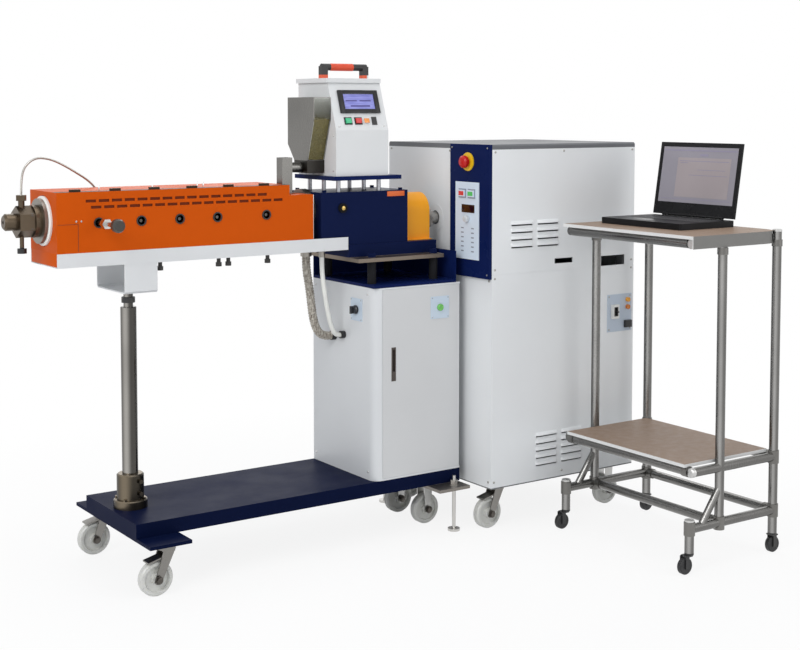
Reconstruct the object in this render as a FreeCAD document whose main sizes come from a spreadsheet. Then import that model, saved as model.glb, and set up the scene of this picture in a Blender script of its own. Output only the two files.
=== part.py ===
"""Laboratory plasticity tester: drive unit, twin screw extruder carriage and data trolley.

Lengths are millimetres and angles are degrees. Inside the script, x runs along the extruder
from the drive unit's front face, y from its side face and z from the floor. Every finished
piece is then shifted so that the origin is the middle of the footprint, on the floor.
"""
import FreeCAD, Part
import math
import os
import re

import Sketcher

Vector = FreeCAD.Vector
Rotation = FreeCAD.Rotation
Placement = FreeCAD.Placement

document = FreeCAD.newDocument("plasticity_tester")
sheet = document.addObject("Spreadsheet::Sheet", "Sizes")

SIZES = {
    "drive_length": 620, "drive_depth": 585, "drive_top": 1260, "roof_thickness": 16,
    "drive_wall": 2.5, "deck_thickness": 4, "seam_height": 840, "seam_width": 3,
    "post_width": 34, "post_inset": 8, "bench_height": 816, "bench_thickness": 8,
    "panel_width": 208, "panel_height": 431, "panel_depth": 12, "panel_wall": 2,
    "plate_width": 125, "plate_height": 251, "plate_thickness": 2, "plate_start": 51,
    "plate_rise": 57, "estop_side": 110, "estop_drop": 57, "estop_disc_radius": 30,
    "estop_head_radius": 20, "estop_travel": 5, "push_width": 30, "push_height": 22,
    "push_travel": 3, "start_side": 88, "stop_side": 136, "push_drop": 37,
    "selector_drop": 119, "selector_radius": 11, "button_gap": 0.3,
    "louver_width": 88, "louver_slot": 8, "louver_pitch": 24, "upper_louver_start": 80,
    "upper_louver_gap": 110, "upper_louver_bottom": 924, "lower_louver_start": 189,
    "lower_louver_bottom": 196, "upper_louver_rows": 4, "lower_louver_rows": 5,
    "grip_start": 263, "grip_width": 79, "grip_height": 17, "grip_bottom": 864,
    "slot_inset": 151, "slot_width": 108, "slot_height": 34, "slot_bottom": 840,
    "terminal_inset": 121, "terminal_width": 111, "terminal_height": 128,
    "terminal_drop": 226, "breaker_inset": 30, "breaker_rise": 70,
    "wheel_radius": 50, "wheel_width": 26, "hub_width": 36, "hub_radius": 16,
    "axle_radius": 6, "running_gap": 0.05, "piece_gap": 0.3, "caster_height": 146,
    "caster_plate": 4, "caster_plate_length": 76, "caster_plate_width": 66,
    "caster_trail": 35, "race_radius": 27, "race_height": 12, "leg_thickness": 4,
    "leg_width": 34, "drive_caster_x": 75, "drive_fixed_inset": 60, "caster_inset": 70,
    "axis_side": 307, "screw_height": 1058, "screw_radius": 12.3, "screw_spacing": 21,
    "bore_gap": 0.2, "screw_root_radius": 8.4, "screw_shaft_radius": 7,
    "gear_module": 1.5, "screw_gear_teeth": 16, "input_gear_teeth": 50, "gear_width": 20,
    "spindle_radius": 20, "motor_case_x": 60, "motor_case_length": 150,
    "motor_case_half": 95, "motor_radius": 92, "motor_length": 300, "coupling_radius": 36, "coupling_hub": 34,
    "jaw_length": 18,
    "jaw_gap": 0.4, "coupling_face": 70,
    "base_length": 1143, "base_end_gap": 34, "base_side": 123, "base_depth": 369,
    "base_height": 43, "base_wall": 4, "cross_length": 129, "cross_depth": 547,
    "cross_side": 35, "cross_thickness": 10, "cross_inset": 3,
    "column_x": 1113, "flange_radius": 50, "flange_height": 25, "collar_radius": 40,
    "collar_height": 76, "column_radius": 23.5, "column_top": 795, "rod_radius": 14,
    "nut_radius": 20, "nut_height": 16, "bracket_bottom": 845, "bracket_length": 101,
    "bracket_wall": 4, "bracket_x": 1167,
    "channel_start": 1367, "channel_end": 414, "channel_bottom": 931, "channel_height": 40,
    "channel_wall": 3, "channel_half_width": 104,
    "cover_top": 1142, "cover_low_top": 1110, "cover_wall": 2, "cover_step": 626,
    "cover_end": 542, "cover_slot_length": 31, "cover_slot_height": 8,
    "cover_slot_pitch": 39, "cover_slot_count": 15, "cover_slot_row": 18,
    "port_radius": 12, "end_opening_radius": 72, "clip_length": 30,
    "barrel_radius": 42, "barrel_flange_radius": 64, "barrel_flange": 24, "heater_radius": 50,
    "heater_length": 90, "heater_count": 5, "heater_pitch": 122, "throat_size": 26,
    "die_flange_radius": 46, "die_flange": 18, "die_hex": 78, "die_hex_length": 44,
    "die_nose_radius": 24, "die_nose": 36, "die_bore_radius": 5, "die_bolt_radius": 5,
    "stem_radius": 9, "stem_top": 1133, "stem_offset": 45, "transducer_radius": 7,
    "transducer_end": 54, "transducer_head_radius": 19,
    "case_start": 509, "case_end": 182, "case_half_width": 97, "case_top": 1113,
    "case_wall": 18, "block_end": 70, "block_height": 40, "block_bottom": 905,
    "foot_side": 150, "foot_depth": 314, "foot_start": 409, "foot_end": 80,
    "foot_thickness": 12, "jack_radius": 14, "jack_inset": 25,
    "guard_start": 180, "guard_end": 68, "guard_half_width": 60, "guard_top": 1098,
    "guard_wall": 2,
    "tail_start": 162, "tail_length": 120, "tail_inset": 20, "swivel_x": 1103,
    "swivel_inset": 48, "fixed_x": 100, "fixed_half_track": 78, "foot_x": 70,
    "foot_front_y": 105, "input_shaft_radius": 15, "first_port": 1244,
    "first_heater": 1224, "clip_start": 57, "clip_pitch": 120, "drain_x": 1048,
    "cover_slot_inset": 85, "hose_side": 357, "hose_height": 636,
    "gland_x": 1140, "gland_height": 1066, "gland_radius": 8, "gland_length": 8,
    "hose_outlet_x": 495, "outlet_radius": 18, "white_outlet_x": 469,
    "white_outlet_side": 273, "white_outlet_radius": 10.5, "corrugated_radius": 14,
    "white_radius": 7.5, "outlet_drop": 26,
    "socket_length": 16,
    "knead_blocks": 3, "knead_discs": 4, "knead_disc_width": 14, "knead_start": 90,
    "knead_block_pitch": 260,
    "cabinet_start": 369, "cabinet_top": 812, "cabinet_wall": 2.5, "cabinet_corner": 30,
    "door_height_gap": 6, "door_thickness": 18, "handle_start": 303, "handle_width": 15,
    "handle_bottom": 514, "handle_height": 106, "switch_width": 72, "switch_height": 72,
    "switch_start": 152, "switch_bottom": 699, "lamp_button_radius": 11,
    "side_switch_start": 191, "side_switch_width": 66, "side_switch_bottom": 700,
    "tray_wall": 4, "tray_thickness": 10, "tray_top": 914, "tray_end": 50,
    "stand_start": 474, "stand_length": 254, "stand_side": 190, "stand_depth": 242,
    "stand_rise": 37, "stand_thickness": 13, "stand_post_radius": 7,
    "stand_left_x": 437, "stand_right_x": 285, "stand_front_y": 225, "stand_post_pitch": 87,
    "feeder_start": 460, "feeder_width": 196, "feeder_front": 200, "feeder_depth": 230,
    "feeder_height": 293, "feeder_front_height": 144, "feeder_lean": 50, "feeder_wall": 3,
    "lid_reach": 62, "lid_thickness": 14, "handle_grip_radius": 11, "handle_rise": 48,
    "hopper_start": 523, "hopper_length": 62, "hopper_side": 230, "hopper_depth": 161,
    "hopper_height": 148, "taper_height": 50, "hopper_rise": 22, "hopper_wall": 2,
    "key_row": 30, "run_key_x": 50, "stop_key_x": 88, "lamp_key_x": 118, "rocker_x": 148,
    "display_x": 28, "display_up": 56, "display_width": 146, "display_height": 74,
    "hopper_pinch": 40, "auger_shaft_radius": 5, "auger_radius": 12, "auger_pitch": 16,
    "auger_turns": 6, "feed_rise": 27, "tube_radius": 16, "tube_wall": 2,
    "chute_x": 584, "chute_size": 36, "chute_wall": 2, "chute_rise": 32,
    "trolley_back": 617, "trolley_front": 378, "trolley_toe": 253, "trolley_near": 626,
    "trolley_far": 77, "pipe_radius": 14, "rail_height": 132, "back_post_bottom": 62,
    "table_top": 1002, "table_start": 244, "table_length": 382, "table_side": 635,
    "table_depth": 571, "board_thickness": 10, "apron_height": 38,
    "apron_thickness": 3, "apron_end": 598, "table_corner": 66, "shelf_top": 324, "shelf_length": 356,
    "shelf_side": 612, "shelf_depth": 521, "toe_top": 158, "brace_foot": 300,
    "brace_top": 240, "brace_radius": 11, "trolley_wheel_radius": 25,
    "trolley_wheel_width": 18, "trolley_trail": 18, "trolley_caster_height": 62,
    "laptop_start": 360, "laptop_length": 240, "laptop_side": 470, "laptop_width": 355,
    "laptop_thickness": 20, "lid_height": 240, "screen_thickness": 7, "lid_angle": 99,
    "lid_hinge_inset": 4, "lid_hinge_rise": 4.3, "lid_barrel_radius": 4,
}
DERIVED = {
    "plate_bottom": "drive_top - panel_height + plate_rise",
    "estop_height": "drive_top - estop_drop",
    "push_centre_height": "plate_bottom + plate_height - push_drop",
    "selector_height": "plate_bottom + plate_height - selector_drop",
    "slot_start": "drive_length - slot_inset", "terminal_start": "drive_length - terminal_inset",
    "terminal_bottom": "seam_height - terminal_drop",
    "breaker_side": "terminal_start + breaker_inset",
    "breaker_height": "terminal_bottom + breaker_rise",
    "drive_fixed_x": "drive_length - drive_fixed_inset",
    "stand_bottom": "case_top + stand_rise", "stand_top": "stand_bottom + stand_thickness",
    "feeder_top": "stand_top + feeder_height",
    "feeder_break": "stand_top + feeder_front_height", "feed_height": "stand_top + feed_rise",
    "hopper_bottom": "feed_height + hopper_rise", "hopper_taper": "hopper_bottom + taper_height",
    "hopper_top": "hopper_taper + hopper_height", "chute_top": "feed_height + chute_rise",
}

for row, (alias, value) in enumerate(SIZES.items(), start=1):
    sheet.set(f"A{row}", alias.replace("_", " "))
    sheet.set(f"B{row}", str(value))
    sheet.setAlias(f"B{row}", alias)
for row, (alias, text) in enumerate(DERIVED.items(), start=len(SIZES) + 1):
    sheet.set(f"A{row}", alias.replace("_", " "))
    sheet.set(f"B{row}", "=" + text)
    sheet.setAlias(f"B{row}", alias)
document.recompute()

# Places that several pieces share, as formulas of the sizes
DECK_TOP = "(caster_height + deck_thickness)"
BASE_BOTTOM = "(caster_height + cross_thickness)"
BASE_TOP = f"({BASE_BOTTOM} + base_height)"
BARREL_END = "(channel_start + 18)"
DIE_TIP = f"({BARREL_END} + die_flange + die_hex_length + die_nose)"
LID_HINGE_X = "(laptop_start + laptop_length - lid_hinge_inset)"
CENTRE_X = f"(({DIE_TIP} - trolley_back - trolley_wheel_radius) / 2)"
CENTRE_Y = "((trolley_near + pipe_radius - drive_depth) / 2)"
GEAR_RADIUS = "(gear_module * screw_gear_teeth / 2)"
INPUT_RADIUS = "(gear_module * input_gear_teeth / 2)"
GEAR_DROP = f"sqrt(({GEAR_RADIUS} + {INPUT_RADIUS}) ^ 2 - (screw_spacing / 2) ^ 2)"
INPUT_HEIGHT = f"(screw_height - {GEAR_DROP})"
FACE_BACK = "(feeder_front + feeder_lean)"
SLOPE_LENGTH = "sqrt(feeder_lean ^ 2 + (feeder_top - feeder_break) ^ 2)"
SLOPE_SINE = f"(feeder_lean / {SLOPE_LENGTH})"
SLOPE_COSINE = f"((feeder_top - feeder_break) / {SLOPE_LENGTH})"
HINGE_X = "(0 - base_end_gap - 8)"
HINGE_Y = "(base_side + door_thickness / 2)"
DOOR_BOTTOM = f"({BASE_TOP} + door_height_gap)"
DOOR_HEIGHT = f"(cabinet_top - {BASE_TOP} - 2 * door_height_gap)"
LAMP_X = "(switch_width / 2 - switch_start)"
LAMP_Z = "(switch_bottom + switch_height / 2)"
SCREW_NEAR = "(axis_side - screw_spacing / 2)"
SCREW_FAR = "(axis_side + screw_spacing / 2)"
NEAR_GEAR_X = "(0 - case_end - 160)"
FAR_GEAR_X = f"({NEAR_GEAR_X} + gear_width + 4)"


def formula(text):
    """Turn the words that name a size into references to the sheet's cells."""
    def reference(match):
        word = match.group()
        return "Sizes." + word if word in SIZES or word in DERIVED else word
    return re.sub(r"[A-Za-z_]+", reference, str(text))


def cell(alias):
    """Read a size from the sheet."""
    return float(sheet.get(alias))


gauge = document.addObject("App::FeaturePython", "Gauge")
gauge.addProperty("App::PropertyFloat", "Reading")


def number(text):
    """Read the value of a formula."""
    gauge.setExpression("Reading", formula(text))
    gauge.recompute()
    return gauge.Reading


PLACES = {}
PIECES = {}
TURNS = {
    "z": Rotation(),
    "x": Rotation(Vector(0, 1, 0), 90),
    "-x": Rotation(Vector(0, 1, 0), -90),
    "-z": Rotation(Vector(1, 0, 0), 180),
    "y": Rotation(Vector(1, 0, 0), -90),
    "-y": Rotation(Vector(1, 0, 0), 90),
}


def bind(thing, name, text):
    """Tie one property of an object to a formula of the sizes."""
    thing.setExpression(name, formula(text))


def place(thing, x="0", y="0", z="0", turn=None):
    """Tie an object's place to formulas, after turning it."""
    if turn is not None:
        thing.Placement = Placement(Vector(), turn)
    PLACES[thing.Name] = (x, y, z)
    for name, text in zip("xyz", (x, y, z)):
        bind(thing, "Placement.Base." + name, text)
    return thing


def box(x, y, z, length, width, height):
    made = document.addObject("Part::Box", "Block")
    bind(made, "Length", length)
    bind(made, "Width", width)
    bind(made, "Height", height)
    return place(made, x, y, z)


def cylinder(axis, x, y, z, radius, length, angle=360, turn=0):
    """Make a cylinder or a sector of one, starting at a point and running along an axis."""
    made = document.addObject("Part::Cylinder", "Round")
    bind(made, "Radius", radius)
    bind(made, "Height", length)
    made.Angle = angle
    return place(made, x, y, z, TURNS[axis] * Rotation(Vector(0, 0, 1), turn))


def ring(axis, x, y, z, radius, hole, length):
    """Make a cylinder with a round hole all the way through."""
    return cut(cylinder(axis, x, y, z, radius, length), cylinder(axis, x, y, z, hole, length))


def hexagon(axis, x, y, z, across_flats, length):
    """Make a six-sided bar, such as a bolt head or a nut."""
    made = document.addObject("Part::Prism", "Hexagon")
    made.Polygon = 6
    bind(made, "Circumradius", f"({across_flats}) / sqrt(3)")
    bind(made, "Height", length)
    return place(made, x, y, z, TURNS[axis])


def cut(base, *tools):
    made = document.addObject("Part::Cut", "Cut")
    made.Base = base
    made.Tool = tools[0] if len(tools) == 1 else group(*tools)
    return made


def fuse(*solids):
    made = document.addObject("Part::MultiFuse", "Fused")
    made.Shapes = list(solids)
    made.Refine = True
    return made


def group(*solids):
    made = document.addObject("Part::Compound", "Group")
    made.Links = list(solids)
    return made


def rounded(solid, radius, chosen):
    """Round the edges for which a test of the edge's middle and direction is true."""
    document.recompute()
    picked = []
    for index, edge in enumerate(solid.Shape.Edges, start=1):
        first, last = edge.ParameterRange
        middle = edge.valueAt((first + last) / 2)
        along = edge.tangentAt((first + last) / 2)
        if chosen(middle, along):
            picked.append((index, radius, radius))
    made = document.addObject("Part::Fillet", "Rounded")
    made.Base = solid
    made.Edges = picked
    return made


def shape(points_or_shape):
    """Hold a shape that no feature above can make."""
    made = document.addObject("Part::Feature", "Formed")
    made.Shape = points_or_shape
    return made


def piece(label, made):
    """Name a finished piece and shift it to the part's own origin."""
    x, y, z = PLACES.get(made.Name, ("0", "0", "0"))
    place(made, f"{x} + {CENTRE_X}", f"{y} + {CENTRE_Y}", z)
    made.Label = label
    PIECES[label] = made
    return made


def new_body(name):
    return document.addObject("PartDesign::Body", name)


def blank_sketch(body, plane, shift):
    """Start a sketch on one of the body's own origin planes, shifted along its normal."""
    sketch = body.newObject("Sketcher::SketchObject", "Sketch")
    support = [item for item in body.Origin.OriginFeatures if item.Role == plane][0]
    sketch.AttachmentSupport = (support, "")
    sketch.MapMode = "FlatFace"
    bind(sketch, "AttachmentOffset.Base.z", shift)
    return sketch


def pin_down(sketch, item, end, u, v):
    """Dimension a sketch point from the sketch's origin by two formulas."""
    for kind, axis, text in (("DistanceX", -2, u), ("DistanceY", -1, v)):
        if str(text) == "0":
            sketch.addConstraint(Sketcher.Constraint("PointOnObject", item, end, axis))
        else:
            made = sketch.addConstraint(
                Sketcher.Constraint(kind, -1, 1, item, end, number(text)))
            bind(sketch, f"Constraints[{made}]", text)


def outline(body, plane, points, shift="0"):
    """Draw a closed outline of straight lines through points given as formulas."""
    sketch = blank_sketch(body, plane, shift)
    corners = [Vector(number(u), number(v), 0) for u, v in points]
    count = len(points)
    for index in range(count):
        line = Part.LineSegment(corners[index], corners[(index + 1) % count])
        sketch.addGeometry(line)
    for index in range(count):
        following = (index + 1) % count
        sketch.addConstraint(Sketcher.Constraint("Coincident", index, 2, following, 1))
    for index, (u, v) in enumerate(points):
        pin_down(sketch, index, 1, u, v)
    return sketch


def rectangle(body, plane, u, v, width, height, shift="0"):
    """Draw a rectangle from its lower left corner."""
    right = f"{u} + {width}"
    top = f"{v} + {height}"
    return outline(body, plane, [(u, v), (right, v), (right, top), (u, top)], shift)


def circles(body, plane, rounds, shift="0"):
    """Draw circles given as formulas of the centre and the radius."""
    sketch = blank_sketch(body, plane, shift)
    for index, (u, v, radius) in enumerate(rounds):
        centre = Vector(number(u), number(v), 0)
        sketch.addGeometry(Part.Circle(centre, Vector(0, 0, 1), number(radius)))
        pin_down(sketch, index, 3, u, v)
        made = sketch.addConstraint(Sketcher.Constraint("Radius", index, number(radius)))
        bind(sketch, f"Constraints[{made}]", radius)
    return sketch


def pad(body, sketch, length, backwards=False):
    made = body.newObject("PartDesign::Pad", "Pad")
    made.Profile = sketch
    bind(made, "Length", length)
    made.Reversed = backwards
    return made


def pocket(body, sketch, length, backwards=False):
    made = body.newObject("PartDesign::Pocket", "Pocket")
    made.Profile = sketch
    bind(made, "Length", length)
    made.Reversed = backwards
    return made


def pattern(body, feature, sketch, length, count):
    """Repeat a feature along its sketch's horizontal axis."""
    made = body.newObject("PartDesign::LinearPattern", "Row")
    made.Originals = [feature]
    made.Direction = (sketch, ["H_Axis"])
    bind(made, "Length", length)
    bind(made, "Occurrences", count)
    body.Tip = made
    return made


def turned(points, axis="z", x="0", y="0", z="0"):
    """Turn an outline of radius and height about the axis that it stands on."""
    body = new_body("Turned")
    sketch = outline(body, "XZ_Plane", points)
    made = body.newObject("PartDesign::Revolution", "Turning")
    made.Profile = sketch
    made.ReferenceAxis = (sketch, ["V_Axis"])
    made.Angle = 360
    return place(body, x, y, z, TURNS[axis])


def hose_path(points):
    """Join a route's straight runs by tangent arcs as large as the runs allow."""
    edges = []
    start = points[0]
    radii = []
    for before, corner, after in zip(points, points[1:], points[2:]):
        back = before - corner
        ahead = after - corner
        turn = math.pi - back.getAngle(ahead)
        reach = 0.45 * min(back.Length, ahead.Length)
        radius = reach / math.tan(turn / 2)
        radii.append(radius)
        back.normalize()
        ahead.normalize()
        entry = corner + back * reach
        leaving = corner + ahead * reach
        inward = (back + ahead).normalize()
        middle = corner + inward * (radius / math.cos(turn / 2) - radius)
        edges.append(Part.LineSegment(start, entry).toShape())
        edges.append(Part.Arc(entry, middle, leaving).toShape())
        start = leaving
    edges.append(Part.LineSegment(start, points[-1]).toShape())
    return Part.Wire(edges), radii


def hose(label, points, radius):
    """Sweep a round section along a route, and compare its volume with the route's length."""
    path, radii = hose_path([Vector(*point) for point in points])
    heading = Vector(*points[1]) - Vector(*points[0])
    section = Part.Wire(Part.Circle(Vector(*points[0]), heading, radius).toShape())
    tube = path.makePipeShell([section], True, False)
    expected = math.pi * radius ** 2 * path.Length
    print(label, "length", round(path.Length), "radii", [round(r) for r in radii],
          "volume ratio", round(tube.Volume / expected, 3))
    return piece(label, shape(tube))


# Casters

def caster_plate(x, y):
    """Make the flat plate that a caster is screwed on by, under a frame."""
    return box(f"{x} - caster_plate_length / 2", f"{y} - caster_plate_width / 2",
               "caster_height - caster_plate", "caster_plate_length",
               "caster_plate_width", "caster_plate")


def fork_solid(x, y, top, trail):
    """Make a caster's crown, legs and axle, with the wheel centre at x + trail."""
    half_gap = f"(hub_width / 2 + piece_gap)"
    crown = box(f"{x} - leg_width / 2", f"{y} - {half_gap} - leg_thickness",
                f"{top} - leg_thickness", "leg_width",
                f"2 * ({half_gap} + leg_thickness)", "leg_thickness")
    parts = [crown]
    for side in (f"{y} - {half_gap} - leg_thickness", f"{y} + {half_gap}"):
        parts.append(leg_solid(x, side, top, trail))
    parts.append(cylinder("y", f"{x} + {trail}", f"{y} - {half_gap} - leg_thickness - 3",
                          "wheel_radius", "axle_radius",
                          f"2 * ({half_gap} + leg_thickness + 3)"))
    return fuse(*parts)


def leg_solid(x, y, top, trail):
    """Make one tapered leg of sheet steel from the crown down to the axle."""
    body = new_body("Leg")
    low = "(wheel_radius - 13)"
    sketch = outline(body, "XZ_Plane", [
        ("0 - leg_width / 2", top), (f"{trail} - 11", f"{low} + 6"),
        (f"{trail} - 6", low), (f"{trail} + 6", low), (f"{trail} + 11", f"{low} + 6"),
        ("leg_width / 2", top)])
    pad(body, sketch, "leg_thickness", backwards=True)
    return place(body, x, y, "0")


def brake_pedal(x, y, outward):
    """Make the pressed brake pedal that joins the legs and reaches out over the wheel."""
    reach = "(wheel_radius + 14)"
    body = new_body("Pedal")
    top = "(2 * wheel_radius + 14)"
    sketch = outline(body, "XZ_Plane", [
        ("0", top), (f"{outward} * {reach}", f"{top} - 16"),
        (f"{outward} * {reach}", f"{top} - 12"), ("0", f"{top} + 4")])
    half = "(hub_width / 2 + piece_gap + 1)"
    pad(body, sketch, f"2 * {half}", backwards=True)
    return place(body, x, f"{y} - {half}", "0")


def swivel_fork(label, x, y, direction):
    """Make the part of a caster that swivels under its plate, with its brake pedal."""
    trail = f"({direction} * caster_trail)"
    race_top = "(caster_height - caster_plate - piece_gap)"
    crown_top = f"({race_top} - race_height)"
    race = cylinder("z", x, y, f"{race_top} - race_height", "race_radius", "race_height")
    fork = fork_solid(x, y, crown_top, trail)
    pedal = brake_pedal(x, y, direction)
    return piece(label, fuse(race, fork, pedal))


def fixed_fork(x, y):
    """Make a caster fork that cannot swivel, with its plate."""
    return fuse(caster_plate(x, y), fork_solid(x, y, "(caster_height - caster_plate)", "0"))


def caster_wheel(label, x, y):
    """Turn a solid nylon wheel with a hub, web and rounded tread."""
    bore = "(axle_radius + running_gap)"
    half = "(wheel_width / 2)"
    hub = "(hub_width / 2)"
    wheel = turned([
        (bore, f"0 - {hub}"), ("hub_radius", f"0 - {hub}"), ("hub_radius", "0 - 6"),
        ("wheel_radius - 14", "0 - 6"), ("wheel_radius - 12", f"0 - {half}"),
        ("wheel_radius - 4", f"0 - {half}"), ("wheel_radius", f"4 - {half}"),
        ("wheel_radius", f"{half} - 4"), ("wheel_radius - 4", half),
        ("wheel_radius - 12", half), ("wheel_radius - 14", "6"), ("hub_radius", "6"),
        ("hub_radius", hub), (bore, hub)], "y", x, y, "wheel_radius")
    return piece(label, wheel)


# Drive unit

def drive_casing():
    height = f"drive_top - roof_thickness - {DECK_TOP}"
    outside = box("0", "0", DECK_TOP, "drive_length", "drive_depth", height)
    inside = box("drive_wall", "drive_wall", f"{DECK_TOP} - 1", "drive_length - 2 * drive_wall",
                 "drive_depth - 2 * drive_wall", f"{height} + 2")
    around = box("0 - 1", "0 - 1", "seam_height", "drive_length + 2", "drive_depth + 2",
                 "seam_width")
    within = box("1", "1", "seam_height", "drive_length - 2", "drive_depth - 2", "seam_width")
    openings = [
        inside, cut(around, within),
        cylinder("x", "0 - 1", "axis_side", INPUT_HEIGHT, "coupling_radius + 9",
                 "drive_wall + 2"),
        box("grip_start", "0 - 1", "grip_bottom", "grip_width", "drive_wall + 2",
            "grip_height"),
        box("slot_start", "0 - 1", "slot_bottom + seam_width", "slot_width",
            "drive_wall + 2", "slot_height"),
    ]
    for column in range(2):
        for row in range(int(cell("upper_louver_rows"))):
            openings.append(louver(f"upper_louver_start + {column} * upper_louver_gap",
                                   f"upper_louver_bottom + {row} * louver_pitch"))
        for row in range(int(cell("lower_louver_rows"))):
            openings.append(louver(f"lower_louver_start + {column} * upper_louver_gap",
                                   f"lower_louver_bottom + {row} * louver_pitch"))
    piece("drive_casing", cut(outside, *openings))


def louver(x, z):
    """Cut one ventilation slot through the side wall."""
    return box(x, "0 - 1", z, "louver_width", "drive_wall + 2", "louver_slot")


def drive_roof():
    body = new_body("Roof")
    sketch = outline(body, "YZ_Plane", [
        ("0", "0"), ("drive_depth", "0"), ("drive_depth", "roof_thickness - 5"),
        ("drive_depth - 5", "roof_thickness"), ("5", "roof_thickness"),
        ("0", "roof_thickness - 5")])
    pad(body, sketch, "drive_length")
    place(body, "0", "0", "drive_top - roof_thickness")
    piece("drive_roof", body)


def drive_chassis():
    far_x = "drive_length - post_inset - post_width"
    far_y = "drive_depth - post_inset - post_width"
    parts = [box("0", "0", "caster_height", "drive_length", "drive_depth", "deck_thickness")]
    for x in ("post_inset", far_x):
        for y in ("post_inset", far_y):
            parts.append(box(x, y, DECK_TOP, "post_width", "post_width",
                             f"drive_top - roof_thickness - {DECK_TOP}"))
    parts.append(box("post_inset", "post_inset", "bench_height",
                     "drive_length - 2 * post_inset", "drive_depth - 2 * post_inset",
                     "bench_thickness"))
    sides = ("caster_inset", "drive_depth - caster_inset")
    parts += [caster_plate("drive_caster_x", y) for y in sides]
    forks = [fixed_fork("drive_fixed_x", y) for y in sides]
    piece("drive_chassis", group(fuse(*parts), *forks))


def drive_motor():
    bench_top = "(bench_height + bench_thickness)"
    case = box("motor_case_x", "axis_side - motor_case_half", bench_top, "motor_case_length",
               "2 * motor_case_half", f"{INPUT_HEIGHT} + motor_case_half - {bench_top}")
    motor_x = "(motor_case_x + motor_case_length)"
    motor = cylinder("x", motor_x, "axis_side", INPUT_HEIGHT, "motor_radius", "motor_length")
    foot = box(f"{motor_x} + 30", "axis_side - motor_radius * 0.7", bench_top,
               "motor_length - 60", "motor_radius * 1.4", f"{INPUT_HEIGHT} - {bench_top}")
    bore = cylinder("x", "motor_case_x - 1", "axis_side", INPUT_HEIGHT,
                    "spindle_radius + running_gap", "motor_case_length - 20")
    piece("drive_motor", cut(fuse(case, motor, foot), bore))


def jaws(face, towards, turn):
    """Make the three jaws of one half of the coupling."""
    made = []
    x = face if towards > 0 else f"{face} - jaw_length"
    for index in range(3):
        sector = cylinder("x", x, "axis_side", INPUT_HEIGHT, "coupling_radius",
                          "jaw_length", 52, turn + 120 * index)
        core = cylinder("x", x, "axis_side", INPUT_HEIGHT, "coupling_radius * 0.4",
                        "jaw_length")
        made.append(cut(sector, core))
    return made


def drive_spindle():
    hub_start = "(0 - coupling_face)"
    hub = cylinder("x", hub_start, "axis_side", INPUT_HEIGHT, "coupling_radius",
                   "coupling_hub")
    shaft = cylinder("x", f"{hub_start} + coupling_hub", "axis_side", INPUT_HEIGHT,
                     "spindle_radius",
                     "coupling_face - coupling_hub + motor_case_x + motor_case_length - 30")
    piece("drive_spindle", fuse(hub, shaft, *jaws(hub_start, -1, 0)))


def control_panel():
    bottom = "drive_top - panel_height"
    outside = box("0 - panel_depth", "0", bottom, "panel_depth", "panel_width", "panel_height")
    inside = box("panel_wall - panel_depth", "panel_wall", f"{bottom} + panel_wall",
                 "panel_depth", "panel_width - 2 * panel_wall",
                 "panel_height - 2 * panel_wall")
    piece("control_panel", cut(outside, inside, *panel_holes("panel_depth")))


def panel_holes(depth):
    """Make the holes that the buttons and the knob pass through."""
    holes = [cylinder("x", f"0 - {depth} - 10", "estop_side", "estop_height",
                      "11 + button_gap", "20"),
             cylinder("x", f"0 - {depth} - 10", "estop_side", "selector_height",
                      "4 + button_gap", "20")]
    for side in ("start_side", "stop_side"):
        holes.append(box(f"0 - {depth} - 10", f"{side} - push_width / 2 - button_gap",
                         "push_centre_height - push_height / 2 - button_gap", "20",
                         "push_width + 2 * button_gap", "push_height + 2 * button_gap"))
    return holes


def operator_plates():
    front = "(0 - panel_depth - plate_thickness)"
    plate = box(front, "plate_start", "plate_bottom", "plate_thickness", "plate_width",
                "plate_height")
    parts = [plate]
    for side in ("start_side", "stop_side"):
        parts.append(box(f"{front} - 3", f"{side} - push_width / 2 - 4",
                         "push_centre_height - push_height / 2 - 4", "3",
                         "push_width + 8", "push_height + 8"))
    parts.append(box(f"{front} - 2", "72", "1038", "2", "68", "26"))
    plate_solid = cut(fuse(*parts), *panel_holes("panel_depth"))
    disc = ring("x", "0 - panel_depth - 4", "estop_side", "estop_height",
                "estop_disc_radius", "11 + button_gap", "4")
    terminal = box("terminal_start", "0 - plate_thickness", "terminal_bottom",
                   "terminal_width", "plate_thickness", "terminal_height")
    block = cut(
        box("breaker_side - 14", "0 - plate_thickness - 12", "breaker_height - 24", "28",
            "12", "48"),
        box("breaker_side - 5", "0 - plate_thickness - 13", "breaker_height - 14", "10",
            "11", "28"))
    lamps = [cylinder("-y", "breaker_side + 61", "0 - plate_thickness", height, "8", "8")
             for height in ("breaker_height + 37", "breaker_height + 12")]
    socket = box("breaker_side + 46", "0 - plate_thickness - 9", "breaker_height - 58",
                 "30", "9", "24")
    piece("operator_plates", group(plate_solid, disc, fuse(terminal, block, socket, *lamps)))


def estop_button():
    stem = "(10 + estop_travel)"
    button = turned([
        ("0", "0"), ("11", "0"), ("11", stem), ("estop_head_radius", f"{stem} + 2"),
        ("estop_head_radius", f"{stem} + 12"), ("estop_head_radius - 5", f"{stem} + 17"),
        ("0", f"{stem} + 19")], "-x", "0 - panel_depth + 4", "estop_side", "estop_height")
    piece("estop_button", button)


def push_button(label, side):
    reach = "(panel_depth + plate_thickness + 3 + 2)"
    cap = box(f"0 - {reach} - push_travel", f"{side} - push_width / 2",
              "push_centre_height - push_height / 2", "plate_thickness + 12", "push_width",
              "push_height")
    document.recompute()
    front = number(f"0 - {reach} - push_travel")
    piece(label, rounded(cap, 2, lambda middle, along: abs(middle.x - front) < 0.01))


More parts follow.
